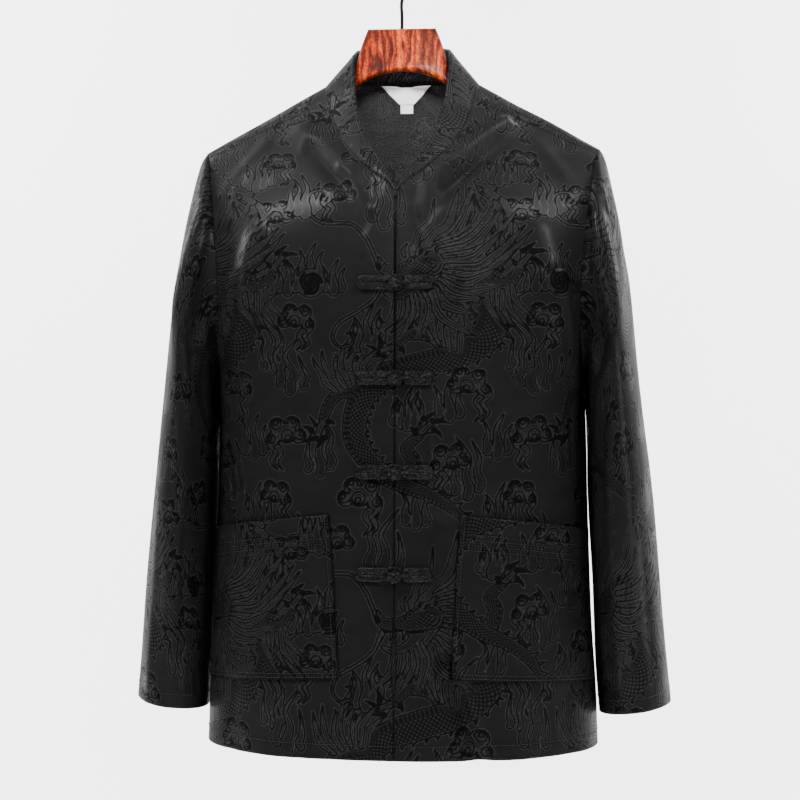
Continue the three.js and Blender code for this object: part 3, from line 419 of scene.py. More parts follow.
def drawWeave():
    cloth = Weave()
    spine = [(140, 214), (160, 234), (188, 236), (210, 218), (222, 186), (214, 152), (188, 130), (150, 118),
             (112, 104), (86, 76), (80, 44), (96, 14), (124, -8), (158, -22), (190, -44), (206, -74)]
    for x, y, size, flip, tongues in (
            (26, 284, 44, 1, fullFlame), (94, 138, 44, -1, fullFlame), (250, 112, 56, 1, tallFlame),
            (134, 50, 38, -1, fullFlame), (12, 88, 66, -1, tallFlame), (226, 22, 40, 1, smallFlame),
            (112, 268, 70, -1, tallFlame), (228, 318, 42, -1, fullFlame), (176, 60, 40, 1, smallFlame),
            (44, 2, 60, 1, tallFlame), (142, 322, 38, 1, smallFlame), (194, 350, 62, 1, tallFlame),
            (72, 106, 32, 1, smallFlame)):
        cloth.flame(x, y, size, flip, tongues)
    for x, y, size, flip in ((198, 96, 19, 1), (8, 44, 18, -1), (86, 352, 19, 1), (62, 306, 16, -1),
                             (250, 284, 17, -1), (178, 16, 17, -1), (18, 172, 16, 1), (250, 352, 15, 1)):
        cloth.cloud(x, y, size, flip)
    cloth.locks([(196, -60), (206, -74), (214, -66)], [(170, -124), (204, -144), (242, -118)], 0.16, 9, 3.6)
    cloth.locks([(186, 224), (196, 196), (184, 176)], [(256, 266), (258, 214), (222, 124)], -0.12, 11, 4.4)
    fins = np.array(spine, float)
    for index in np.linspace(2.2, len(fins) - 1.4, 40):  # fins along the outer side of the back
        here, ahead = (np.array([columnAt(fins[:, axis], index + off) for axis in (0, 1)])
                       for off in (0, 0.05))
        way = (ahead - here) / max(float(np.hypot(*(ahead - here))), 1e-6)
        outward = np.array([-way[1], way[0]])
        reach = np.interp(index, [2, 5, 10, 15], [14, 14.5, 10, 2.5])
        cloth.stroke("plain", [here + outward * (reach - 2), here + outward * (reach + 6) + way * 4],
                     [2.8, 0.6])
    for leg in ([(206, 214), (226, 200), (240, 208), (250, 224)],
                [(176, 128), (160, 150), (138, 154), (122, 142)],
                [(92, 84), (70, 88), (54, 74), (48, 56)],
                [(130, -12), (140, 12), (132, 26), (146, 40)]):
        cloth.stroke("scaly", leg, [9, 7.5, 6, 4.5])
    cloth.stroke("scaly", spine, [9, 12, 14.5, 15.5, 15.5, 14.5, 13, 11, 8.5, 5.5, 2])
    for x, y, turn in ((252, 228, 62), (119, 139, 214), (46, 51, 262), (149, 44, 60)):
        cloth.claw(x, y, turn, 25)
    cloth.locks([(150, 154), (168, 142), (186, 134)], [(136, 200), (172, 194), (208, 180)], 0.14, 8, 3.4)
    cloth.locks([(60, 88), (76, 96), (94, 96)], [(36, 128), (76, 142), (114, 132)], 0.14, 8, 3.4)
    cloth.locks([(240, 204), (228, 196), (214, 204)], [(264, 168), (240, 148), (232, 158)], -0.12, 6, 3)
    # head in profile with a mane, its jaws open towards the pearl
    cloth.locks([(150, 246), (168, 240), (172, 214), (158, 196)],
                [(188, 312), (240, 296), (242, 232), (196, 154)], -0.14, 15, 4.6)
    cloth.locks([(146, 200), (124, 190)], [(150, 150), (104, 156)], 0.14, 7, 3.6)
    cloth.stroke("plain", [(146, 212), (136, 200), (122, 193), (112, 197)], [8, 5, 3.6, 2.2])
    cloth.stroke("scaly", [(158, 226), (142, 223), (126, 219), (112, 221), (104, 231)],
                 [12.5, 10, 7, 5.5, 4])
    cloth.stroke("hairy", [(150, 238), (160, 258), (178, 272), (182, 292)], [3.8, 3.4, 2.6, 0.6])
    cloth.stroke("hairy", [(140, 236), (144, 258), (158, 276), (160, 298)], [3.4, 3, 2.2, 0.6])
    cloth.locks([(130, 234), (140, 236), (148, 234)], [(132, 248), (150, 252), (162, 242)], 0.2, 4, 1.8)
    cloth.stroke("plain", [(136, 229), (137.5, 229)], [3.4, 3.0])
    cloth.stroke("line", [(136, 229), (136.5, 229)], [1.2, 1.2])
    cloth.curl("line", 106, 224, 3.4, 1.2, 90, [0.9])
    cloth.stroke("line", [(150, 212), (138, 211), (124, 213), (110, 212)], [0.9, 1.0, 0.9])
    for tooth in range(3):
        cloth.stroke("plain", [(112 + 9 * tooth, 211), (110 + 9 * tooth, 203)], [1.9, 0.5])
    for footX, footY, way in (  # the two whiskers
            (103, 230, ((0, 0), (-12, 26), (-30, 41), (-52, 41), (-68, 49), (-75, 63), (-71, 77), (-60, 80),
                        (-54, 72), (-59, 65))),
            (110, 212, ((0, 0), (-8, -20), (-26, -34), (-46, -46), (-52, -60), (-43, -72), (-31, -68),
                        (-30, -58), (-37, -56)))):
        cloth.stroke("plain", [(footX + x, footY + y) for x, y in way], [1.9, 1.7, 1.5, 1.2])
    # the pearl in its flames
    for x, y, size, flip in ((34, 216, 34, 1), (10, 200, 32, -1), (58, 200, 32, 1)):
        cloth.flame(x, y, size, flip, smallFlame)
    cloth.stroke("plain", [(34, 208), (34.5, 208)], [15, 15])
    for turn in range(3):
        cloth.curl("line", 34, 208, 12.6, 0.85, turn * 120, [0.9, 1.0, 0.8])
    return cloth.fields


weaveFields = drawWeave()
print("weave drawn")


def figuresAt(acrossCloth, upCloth):  # the weave's fields at points of the cloth, in millimetres
    rows, columns = weaveFields["line"].shape
    x, y = acrossCloth / weave["step"], upCloth / weave["step"]
    column, row = np.floor(x).astype(int), np.floor(y).astype(int)
    shareX, shareY = x - column, y - row
    found = {}
    for name, field in weaveFields.items():
        corner = [field[(row + up) % rows, (column + along) % columns] for up in (0, 1) for along in (0, 1)]
        found[name] = mix(mix(corner[0], corner[1], shareX), mix(corner[2], corner[3], shareX), shareY)
    return found


# Making meshes

def toRow(points):  # millimetres above the hem to metres from the hook
    return (np.asarray(points, float) - [0, 0, hangHeight]) / 1000


def meshFrom(name, points, faces, edges=()):
    mesh = bpy.data.meshes.new(name)
    mesh.from_pydata(toRow(points).tolist(), edges, faces.tolist() if hasattr(faces, "tolist") else faces)
    mesh.update()
    mesh.shade_smooth()
    return addObject(name, mesh)


def mend(mesh, joined=False, turned=False):  # joins points that lie together, turns the faces outwards
    working = bmesh.new()
    working.from_mesh(mesh)
    if joined:
        bmesh.ops.remove_doubles(working, verts=working.verts[:], dist=1e-6)
    if turned:
        bmesh.ops.recalc_face_normals(working, faces=working.faces[:])
    working.to_mesh(mesh)
    working.free()
    mesh.shade_smooth()


def gridFaces(rows, columns, isTube=False, isRing=False):
    # four-cornered faces of a grid; a tube closes round each row, a ring from the last row to the first
    row, column = np.meshgrid(np.arange(rows if isRing else rows - 1),
                              np.arange(columns if isTube else columns - 1), indexing="ij")
    beside, here, above = (column + 1) % columns, row * columns, (row + 1) % rows * columns
    corners = [here + column, here + beside, above + beside, above + column]
    return np.stack(corners, axis=-1).reshape(-1, 4)


def addCloth(name, grids, shift, thickness=cut["cloth"], joined=False):
    # One sheet from grids of points, where they lie on the flat cloth, facing and seam distance.
    # The weave is stored on its points, and Solidify gives the wall with its reverse side.
    flats, faces, spread, seams, count = [], [], [], [], 0
    for points, across, up, facing, seam in grids:
        part = gridFaces(*points.shape[:2])
        flat = points.reshape(-1, 3)
        crossed = np.cross(flat[part[:, 1]] - flat[part[:, 0]], flat[part[:, 3]] - flat[part[:, 0]])
        if (crossed * facing.reshape(-1, 3)[part[:, 0]]).sum() < 0:
            part = part[:, ::-1]
        flats.append(flat)
        faces.append(part + count)
        spread.append(np.stack([across + shift[0], up + shift[1]], axis=-1).reshape(-1, 2))
        seams.append(np.minimum(seam, noSeam).ravel())
        count += len(flat)
    spread = np.concatenate(spread)
    piece = meshFrom(name, np.concatenate(flats), np.concatenate(faces))
    mesh = piece.data
    values = {**figuresAt(spread[:, 0], spread[:, 1]), "seam": np.concatenate(seams)}
    for field, amounts in values.items():
        mesh.attributes.new(field, "FLOAT", "POINT").data.foreach_set("value", amounts.astype(np.float32))
    place = np.column_stack([spread, spread[:, 0] * 0]).astype(np.float32) / 1000
    mesh.attributes.new("cloth", "FLOAT_VECTOR", "POINT").data.foreach_set("vector", place.ravel())
    if joined:
        mend(mesh, joined=True)
    wall = piece.modifiers.new("wall", "SOLIDIFY")
    wall.thickness = thickness / 1000
    wall.offset = -1
    wall.material_offset = 1
    return piece


stitchLines = {"stitchesBack": []}  # for each stitched piece: its stitch lines, as points and facings
noSeam = 30.0  # millimetres, further from a seam than its shade reaches


def lineOn(points, facing, distance, reach, start=0, end=None):
    # across the columns, where distance gets to reach
    columns = range(start, end or points.shape[1])
    found = [[[np.interp(reach, distance[:, column], part[:, column, axis]) for axis in range(3)]
              for column in columns]
             for part in (points, facing)]
    return np.array(found[0]), unit(np.array(found[1]))


def lengthsAlong(points, axis):
    steps = np.linalg.norm(np.diff(points, axis=axis), axis=-1)
    start = np.zeros_like(np.take(steps, [0], axis=axis))
    return np.concatenate([start, np.cumsum(steps, axis=axis)], axis=axis)


def panelCloth(panel, side, across, position):  # where each point lies on the flat cloth
    plain = panel.plain(side, across, position)
    level = plain.copy()
    level[..., 2] = 0
    innerX = np.abs(plain[:, :1, 0])
    middle = panel.plain(side, np.full(position.shape[0], 0.5), position[:, 0])
    climbed = lengthsAlong(middle, 0)
    up = climbed[:, None] + plain[..., 2] - middle[:, None, 2] + middle[0, 2]
    return side * (innerX + lengthsAlong(level, 1)), up


# Nodes, with their maths written as plain expressions

class Value:  # a node's output
    def __init__(self, maker, socket):
        self.maker, self.socket = maker, socket

    def maths(self, operation, *others):
        return self.maker.node("ShaderNodeMath", {"operation": operation}, dict(enumerate(others)))

    def __add__(self, other):
        return self.maths("ADD", self, other)

    def __radd__(self, other):
        return self.maths("ADD", other, self)

    def __sub__(self, other):
        return self.maths("SUBTRACT", self, other)

    def __rsub__(self, other):
        return self.maths("SUBTRACT", other, self)

    def __mul__(self, other):
        return self.maths("MULTIPLY", self, other)

    def __rmul__(self, other):
        return self.maths("MULTIPLY", other, self)

    def __truediv__(self, other):
        return self.maths("DIVIDE", self, other)

    def sine(self):
        return self.maths("SINE", self)

    def size(self):
        return self.maths("ABSOLUTE", self)

    def part(self):
        return self.maths("FRACT", self)

    def least(self, other):
        return self.maths("MINIMUM", self, other)

    def most(self, other):
        return self.maths("MAXIMUM", self, other)

    def held(self):  # kept from 0 to 1
        return self.maker.node("ShaderNodeClamp", {}, {"Value": self})

    def within(self, edge, softness):  # 1 where the value is under the edge
        return ((edge - self) / softness + 0.5).held()

    def band(self, middle, half, softness):  # 1 in a band around the middle
        return (self - middle).size().within(half, softness)


class Maker:  # makes and links the nodes of one tree
    def __init__(self, tree):
        self.nodes, self.links = tree.nodes, tree.links

    def node(self, kind, settings=None, inputs=None, output=0):
        made = self.nodes.new(kind)
        for key, setting in (settings or {}).items():
            if key == "stops":
                ramp = made.color_ramp.elements
                while len(ramp) < len(setting):
                    ramp.new(0.5)
                for stop, (place, colour) in zip(ramp, setting):
                    stop.position, stop.color = place, (*colour, 1)
            else:
                setattr(made, key, setting)
        for key, value in (inputs or {}).items():
            if isinstance(value, Value):
                self.links.new(value.socket, made.inputs[key])
            else:
                made.inputs[key].default_value = value
        return Value(self, made.outputs[output]) if len(made.outputs) else None


class Finish(Maker):  # one material
    def __init__(self, name):
        self.material = bpy.data.materials.new(name)
        self.material.use_nodes = True
        super().__init__(self.material.node_tree)
        self.nodes.clear()

    def place(self):  # object coordinates
        return self.node("ShaderNodeTexCoord", output=3)

    def attribute(self, name, output="Fac"):
        return self.node("ShaderNodeAttribute", {"attribute_name": name}, output=output)

    def blend(self, share, first, second):  # colours, or two sockets that hold colours
        colours = [value if isinstance(value, Value) else (*value, 1) for value in (first, second)]
        return self.node("ShaderNodeMix", {"data_type": "RGBA"}, {0: share, 6: colours[0], 7: colours[1]},
                         output=2)

    def noise(self, place, scale, detail=2.0, roughness=0.5, turn=(0, 0, 0)):
        if isinstance(scale, tuple):  # stretched on its three axes
            place, scale = self.stretched(place, scale, turn), 1.0
        return self.node("ShaderNodeTexNoise", {}, {"Vector": place, "Scale": scale, "Detail": detail,
                                                    "Roughness": roughness})

    def axis(self, vector, index):
        return self.node("ShaderNodeSeparateXYZ", {}, {0: vector}, output=index)

    def ramp(self, share, stops):
        return self.node("ShaderNodeValToRGB", {"stops": stops}, {0: share})

    def stretched(self, place, scale, turn=(0, 0, 0)):
        return self.node("ShaderNodeMapping", {}, {"Vector": place, "Scale": scale, "Rotation": turn})

    def bump(self, height, distance, strength=1.0):
        return self.node("ShaderNodeBump", {}, {"Height": height, "Distance": distance,
                                                "Strength": strength})

    def finish(self, inputs):
        shader = self.node("ShaderNodeBsdfPrincipled", {}, inputs)
        self.node("ShaderNodeOutputMaterial", {}, {"Surface": shader})
        return self.material


figured = {
    "ground": (0.0112, 0.0104, 0.0107), "raised": (0.0088, 0.0083, 0.0086),
    "outline": (0.0009, 0.0009, 0.0009), "gleam": (0.048, 0.046, 0.047), "rough": 0.70, "scale": 5.2,
    "scalesAcross": 2.7, "hair": 1.5, "belly": 0.46, "plate": 4.6, "groundCoat": 0.07, "raisedCoat": 0.21,
    "coatRough": 0.33, "yarn": 900.0, "seamShade": 0.6, "inking": 0.80, "ink": (0.44, 0.42),
    "rim": (1.3, 0.36, 0.5), "wobble": 0.7,
    "relief": {"raised": 0.00018, "dark": 0.00022, "stipple": 0.00008, "yarn": 0.00001, "seam": 0.0005}}


def clothFinish():
    cloth = Finish("figured_cloth")
    odd, even, line, along, across, seam = (
        cloth.attribute(name) for name in ("odd", "even", "line", "along", "across", "seam"))
    scaly, hairy = cloth.attribute("scaly").within(-0.7, 0.5), cloth.attribute("hairy").within(-0.4, 0.5)
    place = cloth.attribute("cloth", "Vector")
    bellySide = across.within(-figured["belly"], 0.08)
    wobble = cloth.noise(place, (160, 160, 160), 2.0)
    edge = odd.size().least(even.size()).least(line.size()) + (wobble - 0.5) * figured["wobble"]
    raised = odd.least(even).within(0, 0.8)
    outline = edge.within(*figured["ink"]).most(line.within(-0.1, 0.5))
    rim = edge.band(*figured["rim"]) * cloth.noise(place, (420, 420, 420), 1.0).within(0.56, 0.3)
    first = along / figured["scale"] + across * figured["scalesAcross"]
    second = along / figured["scale"] - across * figured["scalesAcross"]
    net = (first.part() - 0.5).size().most((second.part() - 0.5).size())
    plates = (along / figured["plate"]).part().band(0.5, 0.2, 0.14) * bellySide
    scales = ((1 - net.within(0.39, 0.07)) * (1 - bellySide)).most(plates) * scaly
    centres = net.within(0.2, 0.12) * (1 - bellySide) * scaly
    strand = (across * figured["hair"] + (wobble - 0.5) * 0.8).part()
    hairs, lights = strand.band(0.5, 0.14, 0.16) * hairy, (1 - strand.band(0.5, 0.3, 0.2)) * hairy
    cloud = cloth.noise(place, (28, 60, 28), 3.0)
    slub = cloth.noise(place, (1500, 90, 60), 2.0)
    turned = cloth.axis(cloth.stretched(place, (1, 1, 1), (0, 0, 0.5)), 0)
    upwards = cloth.axis(place, 1)
    twill = (turned * (figured["yarn"] * 2 * math.pi)).sine()
    pick = (upwards * (figured["yarn"] * math.pi)).sine()
    stipple = cloth.noise(place, (620, 520, 620), 1.0).band(0.5, 0.06, 0.1)
    dark = outline.most(scales * 0.85).most(hairs * 0.8)
    colour = cloth.blend(raised, figured["ground"], figured["raised"])
    colour = cloth.blend((rim * 0.8).most(centres * 0.5).most(lights * 0.55), colour, figured["gleam"])
    colour = cloth.blend(raised * stipple * 0.5, colour, figured["outline"])
    colour = cloth.blend(dark * figured["inking"], colour, figured["outline"])
    # painted shade: the cloth is darkened and its coat dulled along stitch lines and seams, and along the
    # pocket borders and the front edges, where grooves and gaps would lie in shade
    sewn = seam.within(1.0, 1.2)
    tone = (0.66 + cloud * 0.42 + slub * 0.26) * (1 - sewn * figured["seamShade"])
    grey = cloth.node("ShaderNodeCombineXYZ", {}, {0: tone, 1: tone, 2: tone})
    colour = cloth.node("ShaderNodeMix", {"data_type": "RGBA", "blend_type": "MULTIPLY"},
                        {0: 1.0, 6: colour, 7: grey}, output=2)
    coat = figured["groundCoat"] - raised * (figured["groundCoat"] - figured["raisedCoat"])
    coat = coat * (1 - dark) * (0.7 + cloud * 0.5) * (1 - sewn * 0.7)
    relief = figured["relief"]
    height = raised * relief["raised"] - dark * relief["dark"] - raised * stipple * relief["stipple"]
    weaving = twill + pick * 0.8 + (slub - 0.5) * 6
    height = height + weaving * relief["yarn"] - seam.within(1.2, 2.4) * relief["seam"]
    return cloth.finish({"Base Color": colour, "Roughness": figured["rough"] + (slub - 0.5) * 0.2,
                         "Coat Weight": coat, "Coat Roughness": figured["coatRough"],
                         "Normal": cloth.bump(height, 1.0, 0.5), "Specular IOR Level": 0.06})


def reverseFinish():  # the wrong side of the cloth: matt, grey, flecked by the weave
    cloth = Finish("cloth_reverse")
    place = cloth.attribute("cloth", "Vector")
    fleck = cloth.noise(place, (900, 620, 900), 2.0)
    cloud = cloth.noise(place, (40, 55, 40), 3.0)
    colour = cloth.ramp(fleck * 0.8 + cloud * 0.2,
                        [(0.38, (0.004, 0.0038, 0.004)), (0.62, (0.034, 0.033, 0.034))])
    edge = cloth.attribute("odd").size().least(cloth.attribute("even").size())
    floats = edge.band(1.0, 0.5, 0.6)
    colour = cloth.blend(floats * 0.5, colour, (0.046, 0.0445, 0.046))
    colour = cloth.blend(edge.within(0.4, 0.5) * 0.7, colour, (0.008, 0.0078, 0.008))
    height = fleck * 0.0002 + floats * 0.0001
    return cloth.finish({"Base Color": colour, "Roughness": 0.85, "Normal": cloth.bump(height, 1.0, 0.6),
                         "Specular IOR Level": 0.1})


clothMaterial, reverseMaterial = clothFinish(), reverseFinish()
print("cloth finishes made")


def dress(piece, *materials):
    for material in materials:
        piece.data.materials.append(material)
    return piece


# Body

body = {"frontSpacing": 2.02, "backSpacing": 3.2, "hemStitch": 15.0, "yokeSeams": (1.2, 6.5),
        "edgeTop": (560, 590), "frontNeckRow": 10.0, "backNeckRow": 12.0, "easedHeight": 398,
        "easedReach": 40, "easedShare": 0.82, "easing": 260, "shifts": {1: (120, 80), -1: (122, 81)},
        "backShift": (60, 40)}


def eased(points, across):  # evens out the rows between the lower body and the yoke
    bell = np.exp(-((points[1:-1, :, 2:] - body["easedHeight"]) / body["easedReach"])**2)
    bell = bell * (1 - smoothStep(body["easedShare"], 1, across[1:-1]))[..., None]
    for step in range(body["easing"]):
        points[1:-1] += 0.5 * bell * ((points[:-2] + points[2:]) / 2 - points[1:-1])
    return points


def panelGrid(panel, spacing, neckRow):
    across = evenly(lambda share: panel.plain(1, share, share * 0 + 3.0), spacing, 0, 1)
    middle = [evenly(lambda row: panel.plain(1, row * 0 + 0.5, row), spacing, low, high)
              for low, high in ((0, neckRow), (neckRow, panel.last))]
    return np.meshgrid(across, np.concatenate([middle[0], middle[1][1:]]))


def partFront(side, points, across):  # the front edges part below the last frog and meet again at the hem
    height = points[..., 2]
    closed, closing, parted, start = cut["slitHeights"]
    parting = smoothStep(start, parted, height) * smoothStep(closed, closing, height)
    meeting = smoothStep(closing, closed, height)
    spread = cut["slitSpread"] * parting - cut["frontSlit"] * meeting
    points[..., 0] += side * spread * (1 - smoothStep(0, cut["slitShare"], across))
    return points


def makeFront(side):
    across, position = panelGrid(front, body["frontSpacing"], body["frontNeckRow"])
    points = partFront(side, eased(front.point(side, across, position), across), across)
    flatAcross, flatUp = panelCloth(front, side, across, position)
    facing, fromEdge = front.facing(side, across, position), lengthsAlong(points, 1)
    # painted shade: a dark line down the centre front edge below the chest, where the gap between the fronts
    # lies in shade; the hem stitch and the yoke seam lines are darkened as painted shade of their grooves
    edgeShadeDistance = fromEdge + noSeam * smoothStep(*body["edgeTop"], points[..., 2])
    climbed = lengthsAlong(points, 0)
    seams = np.minimum.reduce([np.abs(flatUp - body["hemStitch"]), edgeShadeDistance]
                              + [np.abs(climbed[-1:] - climbed - row) for row in body["yokeSeams"]])
    stitchLines[sided("stitchesFront", side)] = [lineOn(points, facing, flatUp, body["hemStitch"])]
    grid = (points, flatAcross, flatUp, facing, seams)
    return addCloth(sided("frontPanel", side), [grid], body["shifts"][side])


def makeBack():
    across, position = panelGrid(back, body["backSpacing"], body["backNeckRow"])
    halves = []
    for side in (-1, 1):
        flatAcross, flatUp = panelCloth(back, side, across, position)
        points = eased(back.point(side, across, position), across)
        facing = back.facing(side, across, position)
        halves.append((points, flatAcross, flatUp, facing, np.abs(flatUp - body["hemStitch"])))
        stitchLines["stitchesBack"].append(lineOn(points, facing, flatUp, body["hemStitch"]))
    return addCloth("backPanel", halves, body["backShift"], joined=True)


backPiece = makeBack()
frontPieces = {side: makeFront(side) for side in (1, -1)}
for piece in (backPiece, *frontPieces.values()):
    dress(piece, clothMaterial, reverseMaterial)
print("body made")


# Sleeves

sleeve = {"around": 168, "spacing": 3.0, "cuffStitch": 15.0, "headRings": 2.5, "headShare": 0.8,
          "underarmTurn": 174, "axis": (-46.0, 0, 475.0), "shifts": {1: (30, 90), -1: (150, 60)}}
sleeveRings = [  # outer x and height, inner x and height, half depth
    (215, 638, 197, 393, 64), (224.5, 622, 198, 386, 68), (231.5, 580, 198.4, 372, 76),
    (238.5, 535, 199, 354, 83), (246, 488, 199.8, 330, 88), (256, 392, 201.5, 285, 88),
    (266.5, 303, 204, 212, 82), (275, 211, 207, 140, 72), (284, 115, 210.4, 80, 62),
    (290, 46.5, 213.4, 34, 55)]
sleeveFolds = [  # side, turn, from ring, to ring, spread, rise
    (-1, 62, 0.8, 4.2, 15, 5), (-1, 104, 1, 3.6, 14, -5), (1, 70, 0.8, 3.8, 15, 5),
    (1, 112, 1, 3.4, 14, -5), (-1, 96, 5.2, 8.6, 18, 3), (1, 100, 5, 8, 18, 3), (-1, -70, 1, 4.4, 16, 4),
    (1, -66, 1, 4.2, 16, 4)]
sleeveCreases = [
    (-1, 78, 1.2, 4.4, 6, 2.2), (-1, 48, 0.6, 2.6, 7, -1.6), (-1, 120, 1.6, 3.4, 7, 1.6),
    (-1, 84, 3.8, 6.2, 7, -1.4), (1, 86, 1.2, 4.0, 6, 2.2), (1, 52, 0.8, 2.8, 7, -1.6),
    (1, 126, 1.4, 3.2, 7, 1.6), (1, 76, 4.2, 6.6, 7, -1.4), (-1, -48, 0.8, 3.2, 8, 1.6),
    (-1, -96, 1.4, 4.0, 8, -1.8), (1, -52, 1.0, 3.4, 8, 1.6), (1, -98, 1.2, 4.2, 8, -1.8),
    (-1, 112, 6.0, 8.8, 8, -1.4), (1, 62, 6.4, 9.0, 8, -1.2), (-1, 60, 6.8, 9.0, 9, 1.4),
    (1, 118, 5.4, 8.4, 8, 1.4), (-1, -70, 5.6, 8.4, 9, 1.4), (1, -104, 5.8, 8.8, 9, -1.4)]


def sleevePoint(side, turn, position):
    rings = [columnAt(column, position) for column in zip(*sleeveRings)]
    outer = np.stack([rings[0], rings[0] * 0, rings[1]], axis=-1)
    inner = np.stack([rings[2], rings[2] * 0, rings[3]], axis=-1)
    angle = np.radians(turn)
    point = (outer + inner) / 2 + (outer - inner) * (np.cos(angle) / 2)[..., None]
    point[..., 1] = -rings[4] * np.sin(angle)
    share = 1 - smoothStep(0, sleeve["headRings"], position)
    share = share * np.where(position < 0.001, 1, sleeve["headShare"])
    seam = np.where((turn < 0)[..., None], armholePoint(np.abs(turn), 1), armholePoint(np.abs(turn), -1))
    seam[..., 0] -= cut["sleeveLap"]
    point = point + (seam - point) * share[..., None]
    return point * [side, 1, 1]


def sleeveFacing(side, turn, position):
    last = len(sleeveRings) - 1
    around = sleevePoint(side, turn + 1, position) - sleevePoint(side, turn - 1, position)
    along = (sleevePoint(side, turn, np.minimum(position + 0.03, last))
             - sleevePoint(side, turn, np.maximum(position - 0.03, 0)))
    facing = unit(np.cross(around, along)) * side
    outward = (position < 0.001) & (facing[..., 0] * side > 0)
    facing[..., 0] = np.where(outward, 0, facing[..., 0])
    return unit(facing)


def sleeveRise(folds, side, turn, position):
    rise = np.zeros_like(turn)
    for foldSide, foldTurn, fromRing, toRing, spread, lift in folds:
        if foldSide == side:
            away = ((turn - foldTurn + 180) % 360 - 180) / spread
            span = smoothStep(fromRing - 0.8, fromRing + 0.4, position)
            span = span * smoothStep(toRing + 0.6, toRing - 0.6, position)
            rise += lift * np.exp(-away**2) * span
    return rise


def sleeveSurface(side, turn, position):
    facing = sleeveFacing(side, turn, position)
    hold = smoothStep(0, 0.5, position)
    uneven = (0.5 * np.sin(np.radians(3 * turn) + position * 1.9 + side)
              + 0.35 * np.sin(np.radians(5 * turn) - position * 2.7))
    rise = (sleeveRise(sleeveFolds, side, turn, position)
            + (sleeveRise(sleeveCreases, side, turn, position) + uneven) * hold)
    return sleevePoint(side, turn, position) + facing * rise[..., None], facing


def sleeveCloth(side, points):  # the sleeve laid flat: its axis runs up, its girth across
    up = points @ unit(np.array(sleeve["axis"]) * [side, 1, 1])
    around = lengthsAlong(points, 1)
    middle = around[:, [around.shape[1] // 2]]
    return -side * (around - middle), up


def makeSleeve(side):
    last = len(sleeveRings) - 1
    turns = np.linspace(-180, 180, sleeve["around"] + 1)
    rows = evenly(lambda row: sleevePoint(side, row * 0 + 90.0, row), sleeve["spacing"], 0, last)
    turn, position = np.meshgrid(turns, rows)
    points, facing = sleeveSurface(side, turn, position)
    across, up = sleeveCloth(side, points)
    cuff = np.linalg.norm(points - points[-1:], axis=-1)
    seams = np.where(np.abs(turn) > sleeve["underarmTurn"], noSeam, np.abs(cuff - sleeve["cuffStitch"]))
    stitchLines[sided("stitchesSleeve", side)] = [
        lineOn(points[::-1], facing[::-1], cuff[::-1], sleeve["cuffStitch"])]
    grid = (points, across, up, facing, seams)
    return addCloth(sided("sleeve", side), [grid], sleeve["shifts"][side], joined=True)


sleevePieces = {side: makeSleeve(side) for side in (1, -1)}
for piece in sleevePieces.values():
    dress(piece, clothMaterial, reverseMaterial)
print("sleeves made")


# Collar

collar = {"lap": 0.9, "endLength": 26.0, "endDrop": 0.3, "bulge": 1.2, "thickness": 2.4, "spacing": 2.6,
          "rows": 17, "topStitch": 4.5, "shift": (20, 130)}
collarTops = [  # along the neck seam from centre back, x, y, height
    (0, 0, 62, 767), (35, 27, 56, 765), (66, 45, 36, 758), (96, 52, 16, 752), (120, 52.5, 0, 742),
    (146, 50.5, -15, 717), (172, 47, -29, 688), (212, 37, -52, 655), (248, 25, -68, 629),
    (280, 11, -80, 608), (308, 1.2, -89, 592)]


def neckLine():
    backRows = np.linspace(body["backNeckRow"], back.last, 90)
    frontRows = np.linspace(front.last, body["frontNeckRow"], 60)
    points = np.concatenate([back.point(1, backRows * 0, backRows),
                             front.point(1, frontRows * 0, frontRows)[1:]])
    lengths = np.concatenate([[0], np.cumsum(np.linalg.norm(np.diff(points, axis=0), axis=1))])
    return points, lengths


neckPoints, neckLengths = neckLine()


def collarSurface(side, along, up):
    total = neckLengths[-1]
    tops = np.array(collarTops, float)
    places = np.linspace(0, len(tops) - 1, 401)
    alongColumn = columnAt(tops[:, 0], places)

    def bare(run, height):
        run = np.clip(run, 0, total)
        seam = np.stack([np.interp(run, neckLengths, neckPoints[:, axis]) for axis in range(3)], axis=-1)
        place = np.interp(run / total * tops[-1, 0], alongColumn, places)
        rise = np.stack([columnAt(tops[:, axis], place) for axis in (1, 2, 3)], axis=-1) - seam
        start = -collar["lap"] / np.linalg.norm(rise, axis=-1)
        reach = 1 - collar["endDrop"] * smoothStep(total - collar["endLength"], total, run)**2
        point = seam + rise * mix(start, reach, height)[..., None]
        outward = unit(point * [1, 1, 0])
        uneven = 0.35 * np.sin(run / 17) * np.sin(run / 41 + 1) * height
        return point + outward * (collar["bulge"] * np.sin(np.pi * height) + uneven)[..., None]

    alongWay = bare(along + 3, up) - bare(along - 3, up)
    alongWay = np.where((along < 0.01)[..., None], [1.0, 0, 0], alongWay)
    upWay = bare(along, np.minimum(up + 0.05, 1)) - bare(along, np.maximum(up - 0.05, 0))
    facing = unit(np.cross(upWay, alongWay))
    return bare(along, up) * [side, 1, 1], facing * [side, 1, 1]


def makeCollar():
    total = neckLengths[-1]
    runs = np.linspace(0, total, int(total / collar["spacing"]))
    along, up = np.meshgrid(runs, np.linspace(0, 1, collar["rows"]))
    halves, lines = [], []
    for side in (-1, 1):
        points, facing = collarSurface(side, along, up)
        height = lengthsAlong(points, 0)
        # the line 2 mm above the neck seam is painted shade along that seam; the other follows the top
        # stitching
        seams = np.minimum(np.abs(height[-1:] - height - collar["topStitch"]), np.abs(height - 2))
        halves.append((points, side * along, height, facing, seams))
        lines.append(lineOn(points[::-1], facing[::-1], (height[-1:] - height)[::-1], collar["topStitch"]))
    stitchLines["stitchesCollar"] = lines
    return addCloth("collarBand", halves, collar["shift"], collar["thickness"], joined=True)


collarPiece = dress(makeCollar(), clothMaterial, clothMaterial)
print("collar made")


# Patch pockets

